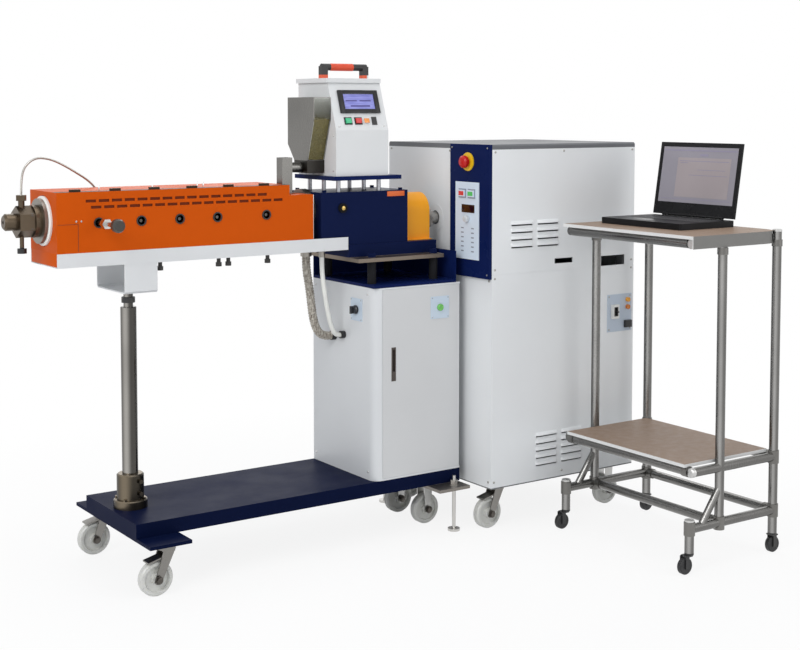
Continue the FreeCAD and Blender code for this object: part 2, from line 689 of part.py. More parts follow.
def mode_selector():
    knob = turned([
        ("0", "0"), ("4", "0"), ("4", "8"), ("selector_radius", "8"),
        ("selector_radius", "18"), ("selector_radius - 2", "20"), ("0", "20")],
        "-x", "0 - panel_depth + 4", "estop_side", "selector_height")
    pointer = box("0 - panel_depth - 19", "estop_side - 2", "selector_height", "5", "4",
                  "selector_radius - 1")
    piece("mode_selector", fuse(knob, pointer))


def breaker_lever():
    y = "(0 - plate_thickness - 8)"
    pivot = cylinder("x", "breaker_side - 4.7", y, "breaker_height", "3", "9.4")
    arm = box("breaker_side - 4", f"{y} - 14", "breaker_height - 2.5", "8", "14", "5")
    piece("breaker_lever", fuse(pivot, arm))


def drive_unit():
    drive_casing()
    drive_roof()
    drive_chassis()
    drive_motor()
    drive_spindle()
    control_panel()
    operator_plates()
    estop_button()
    push_button("start_button", "start_side")
    push_button("stop_button", "stop_side")
    mode_selector()
    breaker_lever()
    for name, y in (("front", "caster_inset"), ("back", "drive_depth - caster_inset")):
        swivel_fork(f"drive_fork_{name}", "drive_caster_x", y, "-1")
        caster_wheel(f"drive_wheel_{name}", "drive_caster_x - caster_trail", y)
        caster_wheel(f"drive_fixed_wheel_{name}", "drive_fixed_x", y)


# Extruder carriage

def carriage_base():
    start = "(0 - base_end_gap - base_length)"
    pan = cut(
        box(start, "base_side", BASE_BOTTOM, "base_length", "base_depth", "base_height"),
        box(f"{start} + base_wall", "base_side + base_wall", f"{BASE_BOTTOM} - 1",
            "base_length - 2 * base_wall", "base_depth - 2 * base_wall",
            "base_height - base_wall + 1"))
    cross = box(f"{start} + cross_inset", "cross_side", "caster_height", "cross_length",
                "cross_depth", "cross_thickness")
    tail_side = "(base_side - cross_side - tail_inset)"
    tail = box("0 - tail_start", f"base_side - {tail_side}", "caster_height", "tail_length",
               f"base_depth + 2 * {tail_side}", "cross_thickness")
    plates = [caster_plate("0 - swivel_x", y)
              for y in ("cross_side + swivel_inset", "cross_side + cross_depth - swivel_inset")]
    forks = [fixed_fork("0 - fixed_x", y)
             for y in ("axis_side - fixed_half_track", "axis_side + fixed_half_track")]
    feet = []
    for side in ("foot_front_y", "2 * axis_side - foot_front_y"):
        low_stud = cylinder("z", "0 - foot_x", side, "8", "6", "caster_height - 8")
        disc = cylinder("z", "0 - foot_x", side, "0", "20", "8")
        low_nut = hexagon("z", "0 - foot_x", side, "caster_height - 12", "22", "12")
        high_stud = cylinder("z", "0 - foot_x", side, BASE_BOTTOM, "6", "26")
        high_nut = hexagon("z", "0 - foot_x", side, BASE_BOTTOM, "22", "12")
        feet += [fuse(disc, low_stud, low_nut), fuse(high_stud, high_nut)]
    piece("carriage_base", group(fuse(pan, cross, tail, *plates), *forks, *feet))


def support_column():
    column_base = BASE_TOP
    collar_top = "(flange_height + collar_height)"
    bore = "(rod_radius + running_gap)"
    sleeve = turned([
        (bore, "0"), ("flange_radius", "0"), ("flange_radius", "flange_height - 3"),
        ("flange_radius - 3", "flange_height"), ("collar_radius", "flange_height"),
        ("collar_radius", f"{collar_top} - 4"), ("collar_radius - 4", collar_top),
        ("column_radius", collar_top), ("column_radius", f"column_top - {column_base} - 2"),
        ("column_radius - 2", f"column_top - {column_base}"),
        (bore, f"column_top - {column_base}")], "z", "0 - column_x", "axis_side",
        column_base)
    rod = cylinder("z", "0 - column_x", "axis_side", f"{column_base} + flange_height",
                   "rod_radius", f"bracket_bottom - {column_base} - flange_height")
    nut = ring("z", "0 - column_x", "axis_side", "column_top + 12", "nut_radius",
               "rod_radius", "nut_height")
    bolts = []
    for turn in range(4):
        across = math.radians(45 + 90 * turn)
        x = f"0 - column_x + (flange_radius - 7) * {math.cos(across):.6f}"
        y = f"axis_side + (flange_radius - 7) * {math.sin(across):.6f}"
        bolts.append(hexagon("z", x, y, f"{column_base} + flange_height - 3.5", "9", "9"))
    clamps = [cylinder("-y", "0 - column_x + 14", "axis_side - collar_radius + 6",
                       f"{column_base} + flange_height + {height}", "6", "14")
              for height in ("20", "56")]
    piece("support_column", group(fuse(sleeve, *bolts, *clamps), fuse(rod, nut)))


def cabinet_shell():
    depth = "base_depth"
    height = f"(cabinet_top - {BASE_TOP})"
    x = "(0 - cabinet_start)"
    length = "(cabinet_start - base_end_gap)"
    outside = box(x, "base_side", BASE_TOP, length, depth, height)
    inside = box(f"{x} + cabinet_wall", "base_side + cabinet_wall",
                 f"{BASE_TOP} + cabinet_wall", f"{length} - 2 * cabinet_wall",
                 f"{depth} - 2 * cabinet_wall", f"{height} - 2 * cabinet_wall")
    corner_x = number(f"{x} + cabinet_wall")
    corner_y = number("base_side + cabinet_wall")

    def front_left(middle, along):
        near = math.hypot(middle.x - corner_x, middle.y - corner_y)
        return abs(along.z) > 0.99 and near < 2 * cell("cabinet_wall")
    outside = rounded(outside, cell("cabinet_corner"), front_left)
    inside = rounded(inside, cell("cabinet_corner") - cell("cabinet_wall"), front_left)
    doorway = box(f"{x} + cabinet_corner + 1", "base_side - 1",
                  f"{BASE_TOP} + door_height_gap - 0.6", f"{length}",
                  "door_thickness + 1.5", f"{height} - 2 * door_height_gap + 1.2")
    shell = cut(outside, inside, doorway)
    pins = [cylinder("z", HINGE_X, HINGE_Y, BASE_TOP, "3", "door_height_gap + 10"),
            cylinder("z", HINGE_X, HINGE_Y, "cabinet_top - door_height_gap - 10", "3",
                     "door_height_gap + 10")]
    plate = box(f"{x} - plate_thickness", "side_switch_start", "side_switch_bottom",
                "plate_thickness", "side_switch_width", "switch_height")
    hole = cylinder("x", f"{x} - 10", "side_switch_start + side_switch_width / 2",
                    "side_switch_bottom + switch_height / 2", "5 + button_gap", "30")
    sockets = [cylinder("-x", x, y, z, radius, "socket_length") for y, z, radius in
               (("hose_side", "hose_height", "15"),
                ("hose_side - 58", "hose_height + 10", "12"))]
    piece("cabinet_shell", group(cut(fuse(shell, plate, *pins), hole), *sockets))


def cabinet_door():
    x = "(0 - cabinet_start + cabinet_corner + 2)"
    length = "(cabinet_start - cabinet_corner - 2 - base_end_gap - 3)"
    outside = box(x, "base_side", DOOR_BOTTOM, length, "door_thickness", DOOR_HEIGHT)
    inside = box(f"{x} + 2", "base_side + 2", f"{DOOR_BOTTOM} + 3", f"{length} - 4",
                 "door_thickness", f"{DOOR_HEIGHT} - 6")
    pin_hole = cylinder("z", HINGE_X, HINGE_Y, f"{DOOR_BOTTOM} - 1", "3 + running_gap",
                        f"{DOOR_HEIGHT} + 2")
    handle_hole = box("0 - handle_start", "base_side - 1", "handle_bottom", "handle_width",
                      "4", "handle_height")
    handle = cut(
        box("0 - handle_start", "base_side - 1.5", "handle_bottom", "handle_width", "12",
            "handle_height"),
        box("3 - handle_start", "base_side - 2", "handle_bottom + 30", "handle_width - 6",
            "8", "handle_height - 36"))
    plate = box("0 - switch_start", "base_side - plate_thickness", "switch_bottom",
                "switch_width", "plate_thickness", "switch_height")
    hole = cylinder("y", LAMP_X, "base_side - 10", LAMP_Z, "lamp_button_radius + button_gap",
                    "20")
    door = cut(fuse(cut(outside, inside), plate), pin_hole, handle_hole, hole)
    piece("cabinet_door", group(door, handle))


def cabinet_button():
    button = turned([
        ("0", "0"), ("lamp_button_radius", "0"), ("lamp_button_radius", "12 + push_travel"),
        ("lamp_button_radius - 2", "14 + push_travel"), ("0", "14 + push_travel")],
        "-y", LAMP_X, "base_side + 8", LAMP_Z)
    piece("cabinet_button", button)


def cabinet_selector():
    knob = turned([
        ("0", "0"), ("5", "0"), ("5", "10"), ("14", "10"), ("14", "15"), ("11", "18"),
        ("11", "24"), ("0", "24")], "-x", "0 - cabinet_start + 7",
        "side_switch_start + side_switch_width / 2",
        "side_switch_bottom + switch_height / 2")
    pointer = box("0 - cabinet_start - 26", "side_switch_start + side_switch_width / 2 - 3",
                  "side_switch_bottom + switch_height / 2 - 12", "12", "6", "24")
    piece("cabinet_selector", fuse(knob, pointer))


def gearbox_tray():
    x = "(0 - cabinet_start)"
    length = "(cabinet_start - tray_end)"
    floor = box(x, "base_side", "cabinet_top", length, "base_depth", "tray_thickness")
    back = box(x, "base_side + base_depth - tray_wall", "cabinet_top", length, "tray_wall",
               "tray_top - cabinet_top")
    right = box("0 - tray_end - tray_wall", "base_side", "cabinet_top", "tray_wall",
                "base_depth", "tray_top - cabinet_top")
    piece("gearbox_tray", fuse(floor, back, right))


def gearbox_case():
    floor = "(channel_bottom + channel_wall)"
    main = box("0 - case_start", "axis_side - case_half_width", floor,
               "case_start - case_end", "2 * case_half_width", f"case_top - {floor}")
    block = box("0 - foot_start", "axis_side - case_half_width - 4", "block_bottom",
                "foot_start - block_end", "2 * case_half_width + 8", "block_height")
    foot = box("0 - foot_start", "foot_side", "block_bottom - foot_thickness",
               "foot_start - foot_end", "foot_depth", "foot_thickness")
    cavity = box("case_wall - case_start", "axis_side - case_half_width + case_wall",
                 f"{floor} + case_wall", "case_start - case_end - 2 * case_wall",
                 "2 * (case_half_width - case_wall)",
                 f"case_top - {floor} - 2 * case_wall")
    bores = [cylinder("x", "0 - case_end - case_wall - 1", "axis_side", INPUT_HEIGHT,
                      "input_shaft_radius + running_gap", "case_wall + 2")]
    for side in (SCREW_NEAR, SCREW_FAR):
        bores.append(cylinder("x", "0 - case_start - 1", side, "screw_height",
                              "screw_shaft_radius + running_gap", "case_wall + 2"))
    tray_floor = "(cabinet_top + tray_thickness)"
    jacks = []
    for x in ("jack_inset - foot_start + 40", "0 - foot_end - jack_inset"):
        for y in ("foot_side + jack_inset", "foot_side + foot_depth - jack_inset"):
            stud = cylinder("z", x, y, tray_floor, "jack_radius",
                            f"block_bottom - foot_thickness - {tray_floor}")
            nut = hexagon("z", x, y, "block_bottom", "24", "14")
            jacks.append(fuse(stud, nut))
    cap = cylinder("-y", "0 - 432", "axis_side - case_half_width", "screw_height + 5", "15",
                   "8")
    lid_bolts = [hexagon("z", x, y, "case_top", "13", "7")
                 for x in ("20 - case_start", "0 - case_end - 20")
                 for y in ("axis_side - case_half_width + 14",
                           "axis_side + case_half_width - 14")]
    case = cut(fuse(main, block, foot, cap, *lid_bolts), cavity, *bores)
    piece("gearbox_case", group(case, *jacks))


def gear_shape(teeth, module, width, turn):
    """Make a spur gear along x with straight-sided involute teeth and a little backlash."""
    pitch_radius = module * teeth / 2
    base_radius = pitch_radius * math.cos(math.radians(20))
    root_radius = pitch_radius - 1.25 * module
    tip_radius = pitch_radius + 0.9 * module
    half_tooth = math.pi / (2 * teeth) - 0.12 / pitch_radius

    def flank(radius):
        """Half the tooth's angle at a radius."""
        def involute(at_radius):
            turn_angle = math.acos(min(1, base_radius / at_radius))
            return math.tan(turn_angle) - turn_angle
        return half_tooth + involute(pitch_radius) - involute(max(radius, base_radius))
    points = []
    for tooth in range(teeth):
        middle = turn + 2 * math.pi * tooth / teeth
        steps = [root_radius, max(base_radius, root_radius), pitch_radius, tip_radius]
        rising = [(radius, middle - flank(radius)) for radius in steps]
        falling = [(radius, middle + flank(radius)) for radius in reversed(steps)]
        for radius, angle in rising + falling:
            point = Vector(0, radius * math.cos(angle), radius * math.sin(angle))
            if not points or point.distanceToPoint(points[-1]) > 0.01:
                points.append(point)
    face = Part.Face(Part.makePolygon(points + [points[0]]))
    return face.extrude(Vector(width, 0, 0))


def lobe_shape(radius, spacing, gap, width, turn):
    """Make a two-lobed kneading disc along x whose flanks pass its partner's tips by a gap."""
    tip = math.pi / 4 - math.acos(spacing / (2 * radius))
    low = spacing - radius
    edges = []
    for half in range(2):
        start = half * math.pi
        quarter = start + math.pi / 2
        ends = [start - tip, start + tip, quarter - tip, quarter + tip, start + math.pi - tip]
        radii = [radius, radius, low, low, radius]
        spots = [Vector(0, r * math.cos(a), r * math.sin(a)) for r, a in zip(radii, ends)]
        edges.append(arc_about(Vector(), spots[0], spots[1]))
        edges.append(arc_about(spots[2] * (0 - radius / low), spots[1], spots[2]))
        edges.append(arc_about(Vector(), spots[2], spots[3]))
        edges.append(arc_about(spots[3] * (0 - radius / low), spots[3], spots[4]))
    face = Part.Face(Part.Wire(edges).makeOffset2D(0 - gap / 2))
    disc = face.extrude(Vector(width, 0, 0))
    disc.rotate(Vector(), Vector(1, 0, 0), turn)
    return disc


def arc_about(centre, first, second):
    """Draw the arc from one point to another about a centre."""
    radius = centre.distanceToPoint(first)
    bulge = ((first + second) * 0.5 - centre).normalize() * radius + centre
    return Part.Arc(first, bulge, second).toShape()


def input_shaft():
    face = "(0 - coupling_face - jaw_length - jaw_gap)"
    hub = cylinder("-x", face, "axis_side", INPUT_HEIGHT, "coupling_radius", "coupling_hub")
    shaft_start = f"({NEAR_GEAR_X} - 10)"
    shaft = cylinder("x", shaft_start, "axis_side", INPUT_HEIGHT, "input_shaft_radius",
                     f"{face} - coupling_hub - {shaft_start} + 1")
    gear = shape(gear_shape(int(cell("input_gear_teeth")), cell("gear_module"),
                            2 * cell("gear_width") + 4, 0))
    place(gear, NEAR_GEAR_X, "axis_side", INPUT_HEIGHT)
    piece("input_shaft", fuse(hub, shaft, gear, *jaws(face, 1, 60)))


def mesh_turn(direction):
    """Turn a screw gear so that a gap of it meets a tooth of the input gear."""
    teeth = int(cell("input_gear_teeth"))
    small = int(cell("screw_gear_teeth"))
    pitch = 2 * math.pi / teeth
    towards = math.atan2(number(GEAR_DROP), direction * cell("screw_spacing") / 2)
    past_tooth = (towards / pitch - round(towards / pitch)) * pitch
    gap_at = towards + math.pi + past_tooth * teeth / small
    return gap_at + math.pi / small


def screw(label, side, direction, gear_x, lobe_turn):
    """Make one of the two screws, its kneading discs and its gear."""
    start = f"(0 - {BARREL_END} + 20)"
    root_end = "(0 - case_start - 6)"
    root = cylinder("x", start, side, "screw_height", "screw_root_radius",
                    f"{root_end} - {start}")
    shaft = cylinder("x", root_end, side, "screw_height", "screw_shaft_radius",
                     f"{gear_x} + gear_width - {root_end}")
    gear = shape(gear_shape(int(cell("screw_gear_teeth")), cell("gear_module"),
                            cell("gear_width"), mesh_turn(direction)))
    place(gear, gear_x, side, "screw_height")
    parts = [root, shaft, gear]
    for block in range(int(cell("knead_blocks"))):
        for disc in range(int(cell("knead_discs"))):
            lobe = shape(lobe_shape(cell("screw_radius"), cell("screw_spacing"),
                                    cell("piece_gap"),
                                    cell("knead_disc_width") - cell("piece_gap"),
                                    lobe_turn + 45 * disc))
            place(lobe, f"{start} + knead_start + {block} * knead_block_pitch"
                        f" + {disc} * knead_disc_width", side, "screw_height")
            parts.append(lobe)
    piece(label, fuse(*parts))


def coupling_guard():
    foot = "(block_bottom + block_height)"
    x = "(0 - guard_start)"
    length = "(guard_start - guard_end)"
    spring = "(guard_top - guard_half_width)"
    inner = "(guard_half_width - guard_wall)"
    outside = fuse(
        box(x, "axis_side - guard_half_width", foot, length, "2 * guard_half_width",
            f"{spring} - {foot}"),
        cylinder("x", x, "axis_side", spring, "guard_half_width", length))
    inside = fuse(
        box(f"{x} - 1", f"axis_side - {inner}", f"{foot} - 1", f"{length} + 2",
            f"2 * {inner}", f"{spring} - {foot} + 1"),
        cylinder("x", f"{x} - 1", "axis_side", spring, inner, f"{length} + 2"))
    flanges = [box(x, y, foot, length, "14", "guard_wall") for y in
               ("axis_side - guard_half_width - 14", "axis_side + guard_half_width")]
    piece("coupling_guard", fuse(cut(outside, inside), *flanges))


def barrel():
    x = f"(0 - {BARREL_END})"
    length = f"({BARREL_END} - case_start)"
    tube = cylinder("x", x, "axis_side", "screw_height", "barrel_radius", length)
    flange = cylinder("x", x, "axis_side", "screw_height", "barrel_flange_radius",
                      "barrel_flange")
    seat = cylinder("x", "0 - case_start - barrel_flange", "axis_side", "screw_height",
                    "barrel_flange_radius", "barrel_flange")
    throat_pad = box("0 - chute_x - 30", "axis_side - 30", "screw_height", "60", "60",
                     "barrel_radius + 4")
    bores = [cylinder("x", f"{x} - 1", side, "screw_height", "screw_radius + bore_gap",
                      f"{length} + 2") for side in (SCREW_NEAR, SCREW_FAR)]
    throat = box("0 - chute_x - throat_size / 2", "axis_side - throat_size / 2",
                 "screw_height", "throat_size", "throat_size", "barrel_radius + 10")
    port = cylinder("-y", "0 - first_port", "axis_side - 20", "screw_height - 4",
                    "transducer_radius + piece_gap", "barrel_radius")
    body = cut(fuse(tube, flange, seat, throat_pad), *bores, throat, port)
    heaters = [ring("x", f"0 - first_heater + {index} * heater_pitch", "axis_side",
                    "screw_height", "heater_radius", "barrel_radius + 0.1",
                    "heater_length")
               for index in range(int(cell("heater_count")))]
    piece("barrel", group(body, *heaters))


def barrel_cover():
    body = new_body("Cover")
    bottom = "(channel_bottom + channel_height + 0.3)"
    left = "(0 - channel_start)"
    back = "(0 - 2 * channel_half_width)"
    sketch = outline(body, "XZ_Plane", [
        (left, bottom), ("0 - cover_end", bottom), ("0 - cover_end", "cover_low_top"),
        ("0 - cover_step", "cover_low_top"), ("0 - cover_step", "cover_top"),
        (left, "cover_top")], "0")
    pad(body, sketch, "2 * channel_half_width", backwards=True)
    hollow = outline(body, "XZ_Plane", [
        (f"{left} + cover_wall", f"{bottom} - 1"), ("0 - cover_end - cover_wall",
         f"{bottom} - 1"),
        ("0 - cover_end - cover_wall", "cover_low_top - cover_wall"),
        ("0 - cover_step - cover_wall", "cover_low_top - cover_wall"),
        ("0 - cover_step - cover_wall", "cover_top - cover_wall"),
        (f"{left} + cover_wall", "cover_top - cover_wall")], "0 - cover_wall")
    pocket(body, hollow, "2 * (channel_half_width - cover_wall)")
    ports = circles(body, "XZ_Plane", [
        (f"0 - {x}", "screw_height - 4", "port_radius") for x in
        ("first_port", "(first_port - 129)", "(first_port - 250)", "(first_port - 372)",
         "(first_port - 537)")])
    pocket(body, ports, "cover_wall + 1")
    for row, count in (("0", "cover_slot_count"), ("1", "(cover_slot_count + 1)")):
        slot = rectangle(body, "XZ_Plane",
                         f"{left} + cover_slot_inset + {row} * cover_slot_pitch * 0.4",
                         f"cover_top - 30 - {row} * cover_slot_row", "cover_slot_length",
                         "cover_slot_height", back)
        through = pocket(body, slot, "2 * channel_half_width")
        through.Reversed = True
        pattern(body, through, slot, f"cover_slot_pitch * ({count} - 1)", count)
    place(body, "0", "axis_side - channel_half_width", "0")
    end_hole = cylinder("x", f"{left} - 1", "axis_side", "screw_height",
                        "end_opening_radius", "cover_wall + 2")
    barrel_hole = cylinder("x", "0 - cover_end - cover_wall - 1", "axis_side",
                           "screw_height", "barrel_radius + 3", "cover_wall + 2")
    throat_hole = box("0 - chute_x - 34", "axis_side - 34", "cover_low_top - cover_wall - 1",
                      "68", "68", "cover_wall + 2")
    clips = [box(f"{left} + clip_start + {index} * clip_pitch - clip_length / 2",
                 "axis_side - channel_half_width + 4", "cover_top", "clip_length", "12", "7")
             for index in range(6)]
    gland = hexagon("y", "0 - gland_x", "axis_side + channel_half_width", "gland_height",
                    "2 * gland_radius", "gland_length")
    cover = fuse(cut(body, end_hole, barrel_hole, throat_hole), gland)
    piece("barrel_cover", group(cover, *clips))


def barrel_channel():
    body = new_body("Channel")
    half = "channel_half_width"
    sketch = outline(body, "YZ_Plane", [
        (f"0 - {half}", "0"), (half, "0"), (half, "channel_height"),
        (f"{half} - channel_wall", "channel_height"), (f"{half} - channel_wall",
         "channel_wall"),
        (f"channel_wall - {half}", "channel_wall"),
        (f"channel_wall - {half}", "channel_height"), (f"0 - {half}", "channel_height")])
    pad(body, sketch, "channel_start - channel_end")
    place(body, "0 - channel_start", "axis_side", "channel_bottom")
    bracket = new_body("Bracket")
    rise = "(channel_bottom - bracket_bottom)"
    u_shape = outline(bracket, "YZ_Plane", [
        (f"0 - {half} + 1", rise), (f"0 - {half} + 1", "6"), (f"0 - {half} + 7", "0"),
        (f"{half} - 7", "0"), (f"{half} - 1", "6"), (f"{half} - 1", rise),
        (f"{half} - 1 - bracket_wall", rise), (f"{half} - 1 - bracket_wall", "8"),
        (f"{half} - 9", "bracket_wall"), (f"0 - {half} + 9", "bracket_wall"),
        (f"0 - {half} + 1 + bracket_wall", "8"),
        (f"0 - {half} + 1 + bracket_wall", rise)])
    pad(bracket, u_shape, "bracket_length")
    place(bracket, "0 - bracket_x", "axis_side", "bracket_bottom")
    bolt = hexagon("z", "0 - column_x", "axis_side", "bracket_bottom + bracket_wall", "24",
                   "12")
    drains = [fuse(cylinder("z", f"0 - {x}", "axis_side - channel_half_width + 22",
                            "channel_bottom - 14", "6", "14"),
                   cylinder("z", f"0 - {x}", "axis_side - channel_half_width + 22",
                            "channel_bottom - 26", "9", "12"))
              for x in ("drain_x", "(drain_x - 190)", "(drain_x - 222)",
                        "(drain_x - 356)")]
    outlets = [cylinder("-z", f"0 - {x}", y, "channel_bottom", radius, "outlet_drop")
               for x, y, radius in
               (("hose_outlet_x", "hose_side - 30", "outlet_radius"),
                ("white_outlet_x", "white_outlet_side", "white_outlet_radius"))]
    piece("barrel_channel", group(body, bracket, bolt, *drains, *outlets))


def die_head():
    start = f"(0 - {BARREL_END})"
    hex_start = f"({start} - die_flange)"
    nose_start = f"({hex_start} - die_hex_length)"
    flange = cylinder("-x", start, "axis_side", "screw_height", "die_flange_radius",
                      "die_flange")
    middle = hexagon("-x", hex_start, "axis_side", "screw_height", "die_hex",
                     "die_hex_length")
    nose = turned([
        ("0", "0"), ("die_nose_radius", "0"), ("die_nose_radius", "die_nose - 6"),
        ("die_nose_radius - 6", "die_nose"), ("0", "die_nose")], "-x", nose_start,
        "axis_side", "screw_height")
    bore = cylinder("-x", start, "axis_side", "screw_height", "die_bore_radius",
                    "die_flange + die_hex_length + die_nose + 1")
    mouth = cylinder("-x", f"{start} + 1", "axis_side", "screw_height",
                     "screw_radius + screw_spacing / 2", "13")
    bolts = []
    for index in range(6):
        around = math.radians(30 + 60 * index)
        y = f"axis_side + (die_flange_radius - 8) * {math.cos(around):.6f}"
        z = f"screw_height + (die_flange_radius - 8) * {math.sin(around):.6f}"
        bolts.append(cylinder("-x", f"{start} - 6", y, z, "die_bolt_radius",
                              "die_flange + 1"))
    stem_x = f"({start} - stem_offset)"
    stem = cylinder("z", stem_x, "axis_side", "screw_height + die_hex / 2 - 4",
                    "stem_radius", "stem_top - screw_height - die_hex / 2 + 4")
    collar = hexagon("z", stem_x, "axis_side", "stem_top - 16", "26", "16")
    lower = cylinder("-z", stem_x, "axis_side", "screw_height - die_hex / 2 + 4",
                     "stem_radius - 3", "40")
    knob = cylinder("-z", stem_x, "axis_side", "screw_height - die_hex / 2 - 36", "13",
                    "14")
    head = cut(fuse(flange, middle, nose, stem, collar, lower, knob, *bolts), bore, mouth)
    sensor_y = "(axis_side - barrel_radius + 16)"
    rod = cylinder("-y", "0 - first_port", sensor_y, "screw_height - 4",
                   "transducer_radius", f"{sensor_y} - transducer_end - 20")
    nut = hexagon("-y", "0 - first_port", "axis_side - channel_half_width - 40",
                  "screw_height - 4", "26", "22")
    grip = turned([
        ("0", "0"), ("10", "0"), ("transducer_head_radius - 5", "6"),
        ("transducer_head_radius", "16"), ("transducer_head_radius", "30"),
        ("transducer_head_radius - 4", "38"), ("0", "38")], "-y", "0 - first_port",
        "transducer_end + 38", "screw_height - 4")
    piece("die_head", group(head, fuse(rod, nut, grip)))


def carriage():
    carriage_base()
    support_column()
    cabinet_shell()
    cabinet_door()
    cabinet_button()
    cabinet_selector()
    gearbox_tray()
    gearbox_case()
    input_shaft()
    screw("near_screw", SCREW_NEAR, -1, NEAR_GEAR_X, 0)
    screw("far_screw", SCREW_FAR, 1, FAR_GEAR_X, 90)
    coupling_guard()
    barrel()
    barrel_cover()
    barrel_channel()
    die_head()
    for name, y in (("front", "cross_side + swivel_inset"),
                    ("back", "cross_side + cross_depth - swivel_inset")):
        swivel_fork(f"carriage_fork_{name}", "0 - swivel_x", y, "-1")
        caster_wheel(f"carriage_wheel_{name}", "0 - swivel_x - caster_trail", y)
    for name, y in (("front", "axis_side - fixed_half_track"),
                    ("back", "axis_side + fixed_half_track")):
        caster_wheel(f"carriage_fixed_wheel_{name}", "0 - fixed_x", y)


# Pellet feeder

def feeder_stand():
    plate = box("0 - stand_start", "stand_side", "stand_bottom", "stand_length",
                "stand_depth", "stand_thickness")
    posts = [cylinder("z", f"0 - {x}", f"stand_front_y + {index} * stand_post_pitch",
                      "case_top", "stand_post_radius", "stand_bottom - case_top")
             for x in ("stand_left_x", "stand_right_x") for index in range(3)]
    piece("feeder_stand", fuse(plate, *posts))


def side_profile(body, inset):
    """Draw the feeder's side: an upright front below and a sloped one above."""
    back = f"(feeder_front + feeder_depth - {inset})"
    low = "stand_top" if inset == "0" else "(stand_top - 1)"
    return outline(body, "YZ_Plane", [
        (f"feeder_front + {inset}", low), (back, low), (back, f"feeder_top - {inset}"),
        (f"{FACE_BACK} + {inset}", f"feeder_top - {inset}"),
        (f"feeder_front + {inset}", f"feeder_break - {inset} / 4")], inset)


def sloped(across, up, width, height, out, depth):
    """Make a block square to the sloped face, starting out from it and running inwards."""
    lean = math.atan2(cell("feeder_lean"), cell("feeder_top") - cell("feeder_break"))
    made = document.addObject("Part::Box", "Sloped")
    bind(made, "Length", width)
    bind(made, "Width", depth)
    bind(made, "Height", height)
    return place(made, f"0 - feeder_start + {across}",
                 f"feeder_front + ({up}) * {SLOPE_SINE} - ({out}) * {SLOPE_COSINE}",
                 f"feeder_break + ({up}) * {SLOPE_COSINE} + ({out}) * {SLOPE_SINE}",
                 Rotation(Vector(1, 0, 0), -math.degrees(lean)))


def feeder_key(across, width, height, out, depth, gap="0"):
    """Make a key of the row under the display, or the hole that it moves in."""
    return sloped(f"{across} - {width} / 2 - {gap}", f"key_row - {height} / 2 - {gap}",
                  f"{width} + 2 * {gap}", f"{height} + 2 * {gap}", out, depth)


ROCKER_Y = f"(key_row * {SLOPE_SINE} + {SLOPE_COSINE})"
ROCKER_Z = f"(key_row * {SLOPE_COSINE} - {SLOPE_SINE})"
FEEDER_KEYS = (("feeder_run_button", "run_key_x", "20", "16"),
               ("feeder_stop_button", "stop_key_x", "20", "16"))


def feeder_housing():
    outside = new_body("Housing")
    pad(outside, side_profile(outside, "0"), "feeder_width")
    place(outside, "0 - feeder_start", "0", "0")
    inside = new_body("Hollow")
    pad(inside, side_profile(inside, "feeder_wall"), "feeder_width - 2 * feeder_wall")
    place(inside, "0 - feeder_start", "0", "0")
    auger_hole = cylinder("x", "0 - feeder_start - 1", "axis_side", "feed_height",
                          "auger_shaft_radius + 1", "feeder_wall + 2")
    holes = [feeder_key(x, width, height, "6", "14", "button_gap")
             for name, x, width, height in FEEDER_KEYS]
    rocker_hole = feeder_key("rocker_x", "18", "26", "6", "14", "button_gap")
    bezel = sloped("display_x", "display_up", "display_width", "display_height", "6", "6.5")
    screen = sloped("display_x + 16", "display_up + 12", "display_width - 32",
                    "display_height - 24", "7", "3")
    lamp = feeder_key("lamp_key_x", "18", "14", "5", "5.5")
    shell = cut(fuse(cut(outside, inside), cut(bezel, screen), lamp), auger_hole,
                rocker_hole, *holes)
    lid = box("0 - feeder_start - lid_reach", f"{FACE_BACK} - 6", "feeder_top",
              "feeder_width + lid_reach", "feeder_depth - feeder_lean + 6",
              "lid_thickness")
    lid_hollow = box("3 - feeder_start - lid_reach", f"{FACE_BACK} - 3",
                     "feeder_top - 1", "lid_reach - 6",
                     "feeder_depth - feeder_lean", "lid_thickness - 2")
    lid_top = "(feeder_top + lid_thickness)"
    grip_y = "(feeder_front + 0.55 * feeder_depth)"
    ends = [box(x, f"{grip_y} - 11", lid_top, "22", "22", "handle_rise - 8")
            for x in ("20 - feeder_start", "feeder_width - 22 - feeder_start")]
    bar = cylinder("x", "24 - feeder_start", grip_y,
                   f"{lid_top} + handle_rise - handle_grip_radius",
                   "handle_grip_radius", "feeder_width - 28")
    motor = box("30 - feeder_start", "axis_side - 35", "stand_top", "110", "70",
                "feed_height + 35 - stand_top")
    motor_bore = cylinder("x", "29 - feeder_start", "axis_side", "feed_height",
                          "auger_shaft_radius + running_gap", "60")
    piece("feeder_housing", group(shell, cut(lid, lid_hollow), fuse(bar, *ends),
                                  cut(motor, motor_bore)))


def hopper_shell(inset):
    """Make the hopper's upright box with its taper, as an outer or an inner form."""
    x = f"(0 - hopper_start + {inset})"
    y = f"(hopper_side + {inset})"
    length = f"(hopper_length - 2 * {inset})"
    depth = f"(hopper_depth - 2 * {inset})"
    rise = "(hopper_taper - hopper_bottom)"
    extra = "0" if inset == "0" else "1"
    upright = box(x, y, "hopper_taper", length, depth, f"hopper_top + {extra} - hopper_taper")
    taper = document.addObject("Part::Wedge", "Taper")
    for name, text in (
            ("Ymin", f"0 - {extra}"), ("Ymax", rise), ("X2min", "0"), ("X2max", length),
            ("Z2min", "0"), ("Z2max", depth), ("Xmin", "0"), ("Xmax", length),
            ("Zmin", "hopper_pinch"), ("Zmax", f"{depth} - hopper_pinch")):
        bind(taper, name, text)
    place(taper, x, f"{y} + {depth}", "hopper_bottom", Rotation(Vector(1, 0, 0), 90))
    return fuse(upright, taper)


